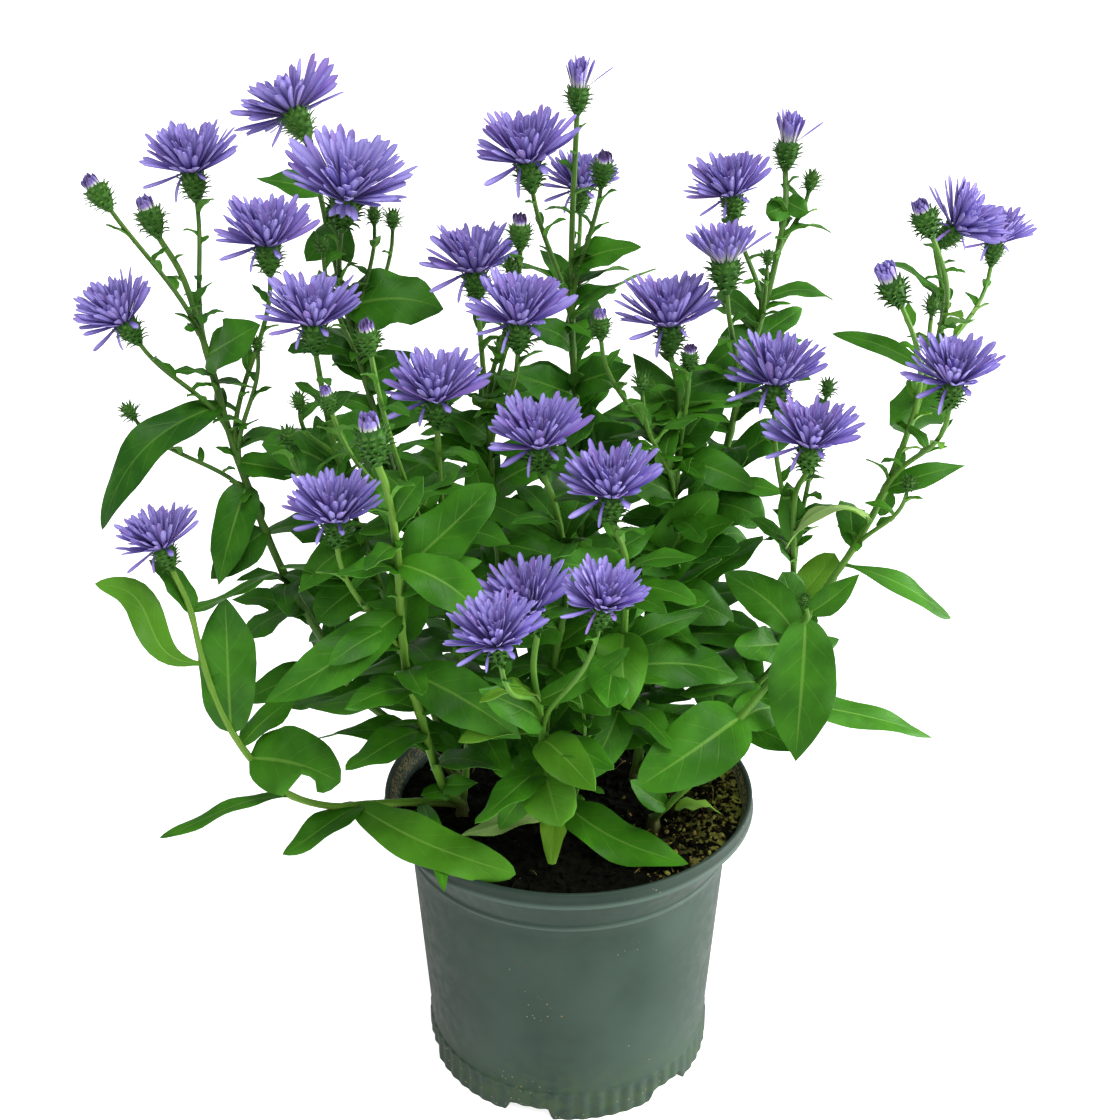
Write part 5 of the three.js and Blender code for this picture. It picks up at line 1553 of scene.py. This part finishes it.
# Soil: a crumbly bed with loose crumbs, golden grit, bark and fibres, and a mossy side
soilLook = {
    "seed": 5,
    "edge": 98.4,
    "middle": 100.8,
    "edgeRadius": 59.7,
    "wallSlope": 0.0072,  # how the bed's edge widens with its height, as the pot's wall does
    "rings": 56,
    "columns": 300,
    "relief": ((0.055, 1.3), (0.16, 0.9), (0.42, 0.75)),  # noise scale per mm, and height
    "highest": 103.4,
    "below": ((49.2, 7.2), (53.9, 84.0), (54.6, 88.0), (58.2, 95.6)),  # radius and height
    "rightRise": 2.6,
    "mossTurn": (-40, 35),  # degrees, on the right of the pot
    "mossEase": 15,
    "mossFrom": (0.55, 0.95),
    "scatter": 0.975,  # share of the edge's radius that loose bits reach
    "crumbs": 620,
    "crumbSize": (0.5, 1.8),
    "crumbStretch": (1, 0.9, 0.8),
    "crumbTone": (0.2, 0.75),
    "paleShare": 0.02,
    "paleTone": 0.9,
    "paleSize": 0.5,  # times the crumb's own size
    "grit": 720,  # small golden grains, mostly on the right, thicker towards the rim
    "gritSize": (0.3, 1.25),
    "gritWidth": (0.4, 0.9),
    "gritHeight": 0.7,
    "gritTurn": (-62, 48),
    "gritMarks": ({"tone": 0.95}, {"moss": 1.0}, {"moss": 0.8, "tone": 0.85}, {"tone": 0.5}, {"tone": 0.82}),
    "bark": 70,
    "barkSize": (1.6, 3.4),
    "barkStretch": (1, 0.45, 0.22),
    "barkTone": (0.4, 0.8),
    "fibres": 34,
    "fibreLength": (4, 11),
    "fibreBend": 2.2,
    "fibreGirth": (0.2, 0.08),
    "fibreTone": (0.84, 1),
    "fibreRows": 9,
    "fibreSides": 5,
    "fibreTop": 105.5,
    "lumpRows": 4,
    "lumpSides": 6,
    "lumpRough": (0.75, 1.2),
}


# How far out a place is, 1 at the edge, and its azimuth
def polar(look, x, y):
    return math.hypot(x, y) / look["edgeRadius"], math.atan2(y, x)


def soilHeight(look, x, y):
    away, turn = polar(look, x, y)
    height = lerp(look["middle"], look["edge"], min(1, away) ** 2)
    for scale, size in look["relief"]:
        height += size * noise.noise(Vector((x * scale, y * scale, scale * 90)))
    height += look["rightRise"] * float(smooth(away, 0.6, 1)) * max(0, math.cos(turn))
    return min(height, look["highest"])


def mossCover(look, x, y):
    away, turn = polar(look, x, y)
    turn = math.degrees(turn)
    (low, high), ease = look["mossTurn"], look["mossEase"]
    side = smooth(turn, low - ease, low + ease) * (1 - smooth(turn, high - ease, high + ease))
    patch = 0.5 + 0.9 * noise.noise(Vector((x * 0.12, y * 0.12, 4)))
    return float(side * smooth(away, *look["mossFrom"]) * patch)


def drawSoilBed(draft, look):
    angles = fullTurn(look["columns"])
    radii = look["edgeRadius"] * np.linspace(0.01, 1, look["rings"])
    top, tones, mosses = [], [], []
    for radius in radii[::-1]:
        for angle in angles:
            x, y = radius * math.cos(angle), radius * math.sin(angle)
            height = soilHeight(look, x, y)
            above = max(0, height - look["edge"])
            wider = 1 + look["wallSlope"] * above * (radius / look["edgeRadius"]) ** 6
            top.append((x * wider, y * wider, height))
            tones.append(0.4 + 0.5 * noise.noise(Vector((x * 0.6, y * 0.6, 9))))
            mosses.append(mossCover(look, x, y))
    below = np.concatenate([ringAt(angles, *row) for row in look["below"]])
    extra = np.zeros(len(below))
    marks = {"tone": np.concatenate([extra, tones]), "moss": np.concatenate([extra, mosses])}
    points = np.concatenate([below, top]).reshape(-1, len(angles), 3)
    grid = addPoints(draft, points, marks)
    joinRings(draft, grid)
    closeEnds(draft, grid)


# A lumpy closed stone shape
def addLump(draft, look, place, size, stretch, marks, rng):
    rows, sides = look["lumpRows"], look["lumpSides"]
    basis = headBasis([rng.uniform(-1, 1) for _ in range(3)])
    rings = []
    for i in range(rows):
        rise = math.pi * (i + 0.6) / (rows + 0.2)
        angles = fullTurn(sides) + rng.uniform(0, 1)
        rough = np.array([rng.uniform(*look["lumpRough"]) for _ in range(sides)])
        rings.append(ringAt(angles, rough * math.sin(rise), -math.cos(rise)) * stretch * size)
    addRings(draft, place + np.array(rings) @ basis.T, [0] * rows, marks)


def scatteredPlace(look, rng, lift, turns=(0, 360), power=0.5):
    away = look["edgeRadius"] * look["scatter"] * rng.random() ** power
    turn = math.radians(rng.uniform(*turns))
    x, y = away * math.cos(turn), away * math.sin(turn)
    return np.array([x, y, soilHeight(look, x, y) + lift])


def addFibre(draft, look, place, rng):
    turn = rng.uniform(0, 2 * math.pi)
    length = rng.uniform(*look["fibreLength"])
    s = np.linspace(0, 1, look["fibreRows"])
    bend = turn + rng.uniform(-look["fibreBend"], look["fibreBend"]) * s
    ways = np.stack([np.cos(bend), np.sin(bend), rng.uniform(0.2, 1.4) * np.cos(math.pi * s)], -1)
    path = place + np.cumsum(ways, axis=0) * length / len(s)
    path[:, 2] = np.minimum(path[:, 2], look["fibreTop"])
    girth = lerp(*look["fibreGirth"], s) * rng.uniform(0.7, 1.3)
    addTube(draft, path, girth, look["fibreSides"], {"tone": rng.uniform(*look["fibreTone"])})


def drawSoil(look):
    rng = random.Random(look["seed"])
    draft = newDraft("tone", "moss")
    drawSoilBed(draft, look)
    for _ in range(look["crumbs"]):
        size = lerp(*look["crumbSize"], rng.random() ** 2.5)
        place = scatteredPlace(look, rng, size * 0.3)
        pale = rng.random() < look["paleShare"]
        tone = look["paleTone"] if pale else rng.uniform(*look["crumbTone"])
        size *= look["paleSize"] if pale else 1
        addLump(draft, look, place, size, look["crumbStretch"], {"tone": tone}, rng)
    for _ in range(look["grit"]):
        size = lerp(*look["gritSize"], rng.random() ** 2.2)
        place = scatteredPlace(look, rng, size * 0.5, look["gritTurn"], 0.2)
        marks = rng.choice(look["gritMarks"])
        stretch = (1, rng.uniform(*look["gritWidth"]), look["gritHeight"])
        addLump(draft, look, place, size, stretch, marks, rng)
    for _ in range(look["bark"]):
        place = scatteredPlace(look, rng, 0.5)
        size = rng.uniform(*look["barkSize"])
        marks = {"tone": rng.uniform(*look["barkTone"])}
        addLump(draft, look, place, size, look["barkStretch"], marks, rng)
    for i in range(look["fibres"]):
        turns = look["gritTurn"] if i % 3 else (0, 360)
        addFibre(draft, look, scatteredPlace(look, rng, 0.5, turns, 0.3), rng)
    makePiece("soilBed", draft, soilMaterial, ["soil"], 70)


drawSoil(soilLook)
print("soil drawn")


# Floor and light
stageLook = {
    "floorSize": 14,
    "floorColour": (0.86, 0.86, 0.85),
    "floorShade": (0.8, 0.8, 0.79),
    "floorGlow": 0.5,
    "floorWhiter": 0.3,  # more glow that only the camera sees
    "worldColour": (1.0, 1.0, 1.0),
    "worldStrength": 0.6,
    # where it shines from, its spread in degrees and its strength
    "key": ((0.45, -0.65, 1.3), 26, 2.1),
    # place in metres, size and power, and the place that it is aimed at
    "side": ((1.3, -0.05, 0.35), 0.7, 22.0),
    "sideAim": (0, 0, 0.15),
}


def makeFloor(look):
    half = look["floorSize"] / 2
    mesh = bpy.data.meshes.new("studioFloor")
    corners = [(-half, -half, 0), (half, -half, 0), (half, half, 0), (-half, half, 0)]
    mesh.from_pydata(corners, [], [(0, 1, 2, 3)])
    fixed = {"Specular IOR Level": 0.1, "Emission Color": (1, 1, 1, 1)}
    material, tree, shader = newMaterial("palePaper", fixed)
    drift = useGroup(tree, toneDrift, Scale=3, Detail=2)
    shade = mixColour(tree, times(tree, drift, 0.1), look["floorColour"], look["floorShade"])
    roughness = plus(tree, 0.85, times(tree, drift, 0.1))
    seen = addNode(tree, "LightPath").outputs["Is Camera Ray"]
    glow = timesPlus(tree, seen, look["floorWhiter"], look["floorGlow"])
    feed(tree, shader, Base_Color=shade, Roughness=roughness, Emission_Strength=glow)
    mesh.materials.append(material)
    floor = linkObject("studioFloor", mesh)


def makeSideLight(look):
    place, size, power = look["side"]
    data = bpy.data.lights.new("sideLight", "AREA")
    data.shape = "DISK"
    data.size = size
    data.energy = power
    light = linkObject("sideLight", data)
    light.location = place
    light.rotation_euler = (Vector(look["sideAim"]) - Vector(place)).to_track_quat("-Z", "Y").to_euler()


def makeKeyLight(look):
    place, spread, strength = look["key"]
    data = bpy.data.lights.new("keyLight", "SUN")
    data.angle = math.radians(spread)
    data.energy = strength
    light = linkObject("keyLight", data)
    light.rotation_euler = Vector(place).to_track_quat("Z", "Y").to_euler()


def makeWorld(look):
    world = bpy.data.worlds.new("softStudio")
    world.use_nodes = True
    background = world.node_tree.nodes["Background"]
    background.inputs["Color"].default_value = (*look["worldColour"], 1)
    background.inputs["Strength"].default_value = look["worldStrength"]
    bpy.context.scene.world = world


makeFloor(stageLook)
makeWorld(stageLook)
makeKeyLight(stageLook)
makeSideLight(stageLook)
bpy.context.scene.view_settings.view_transform = "Standard"
print("floor and lights made")
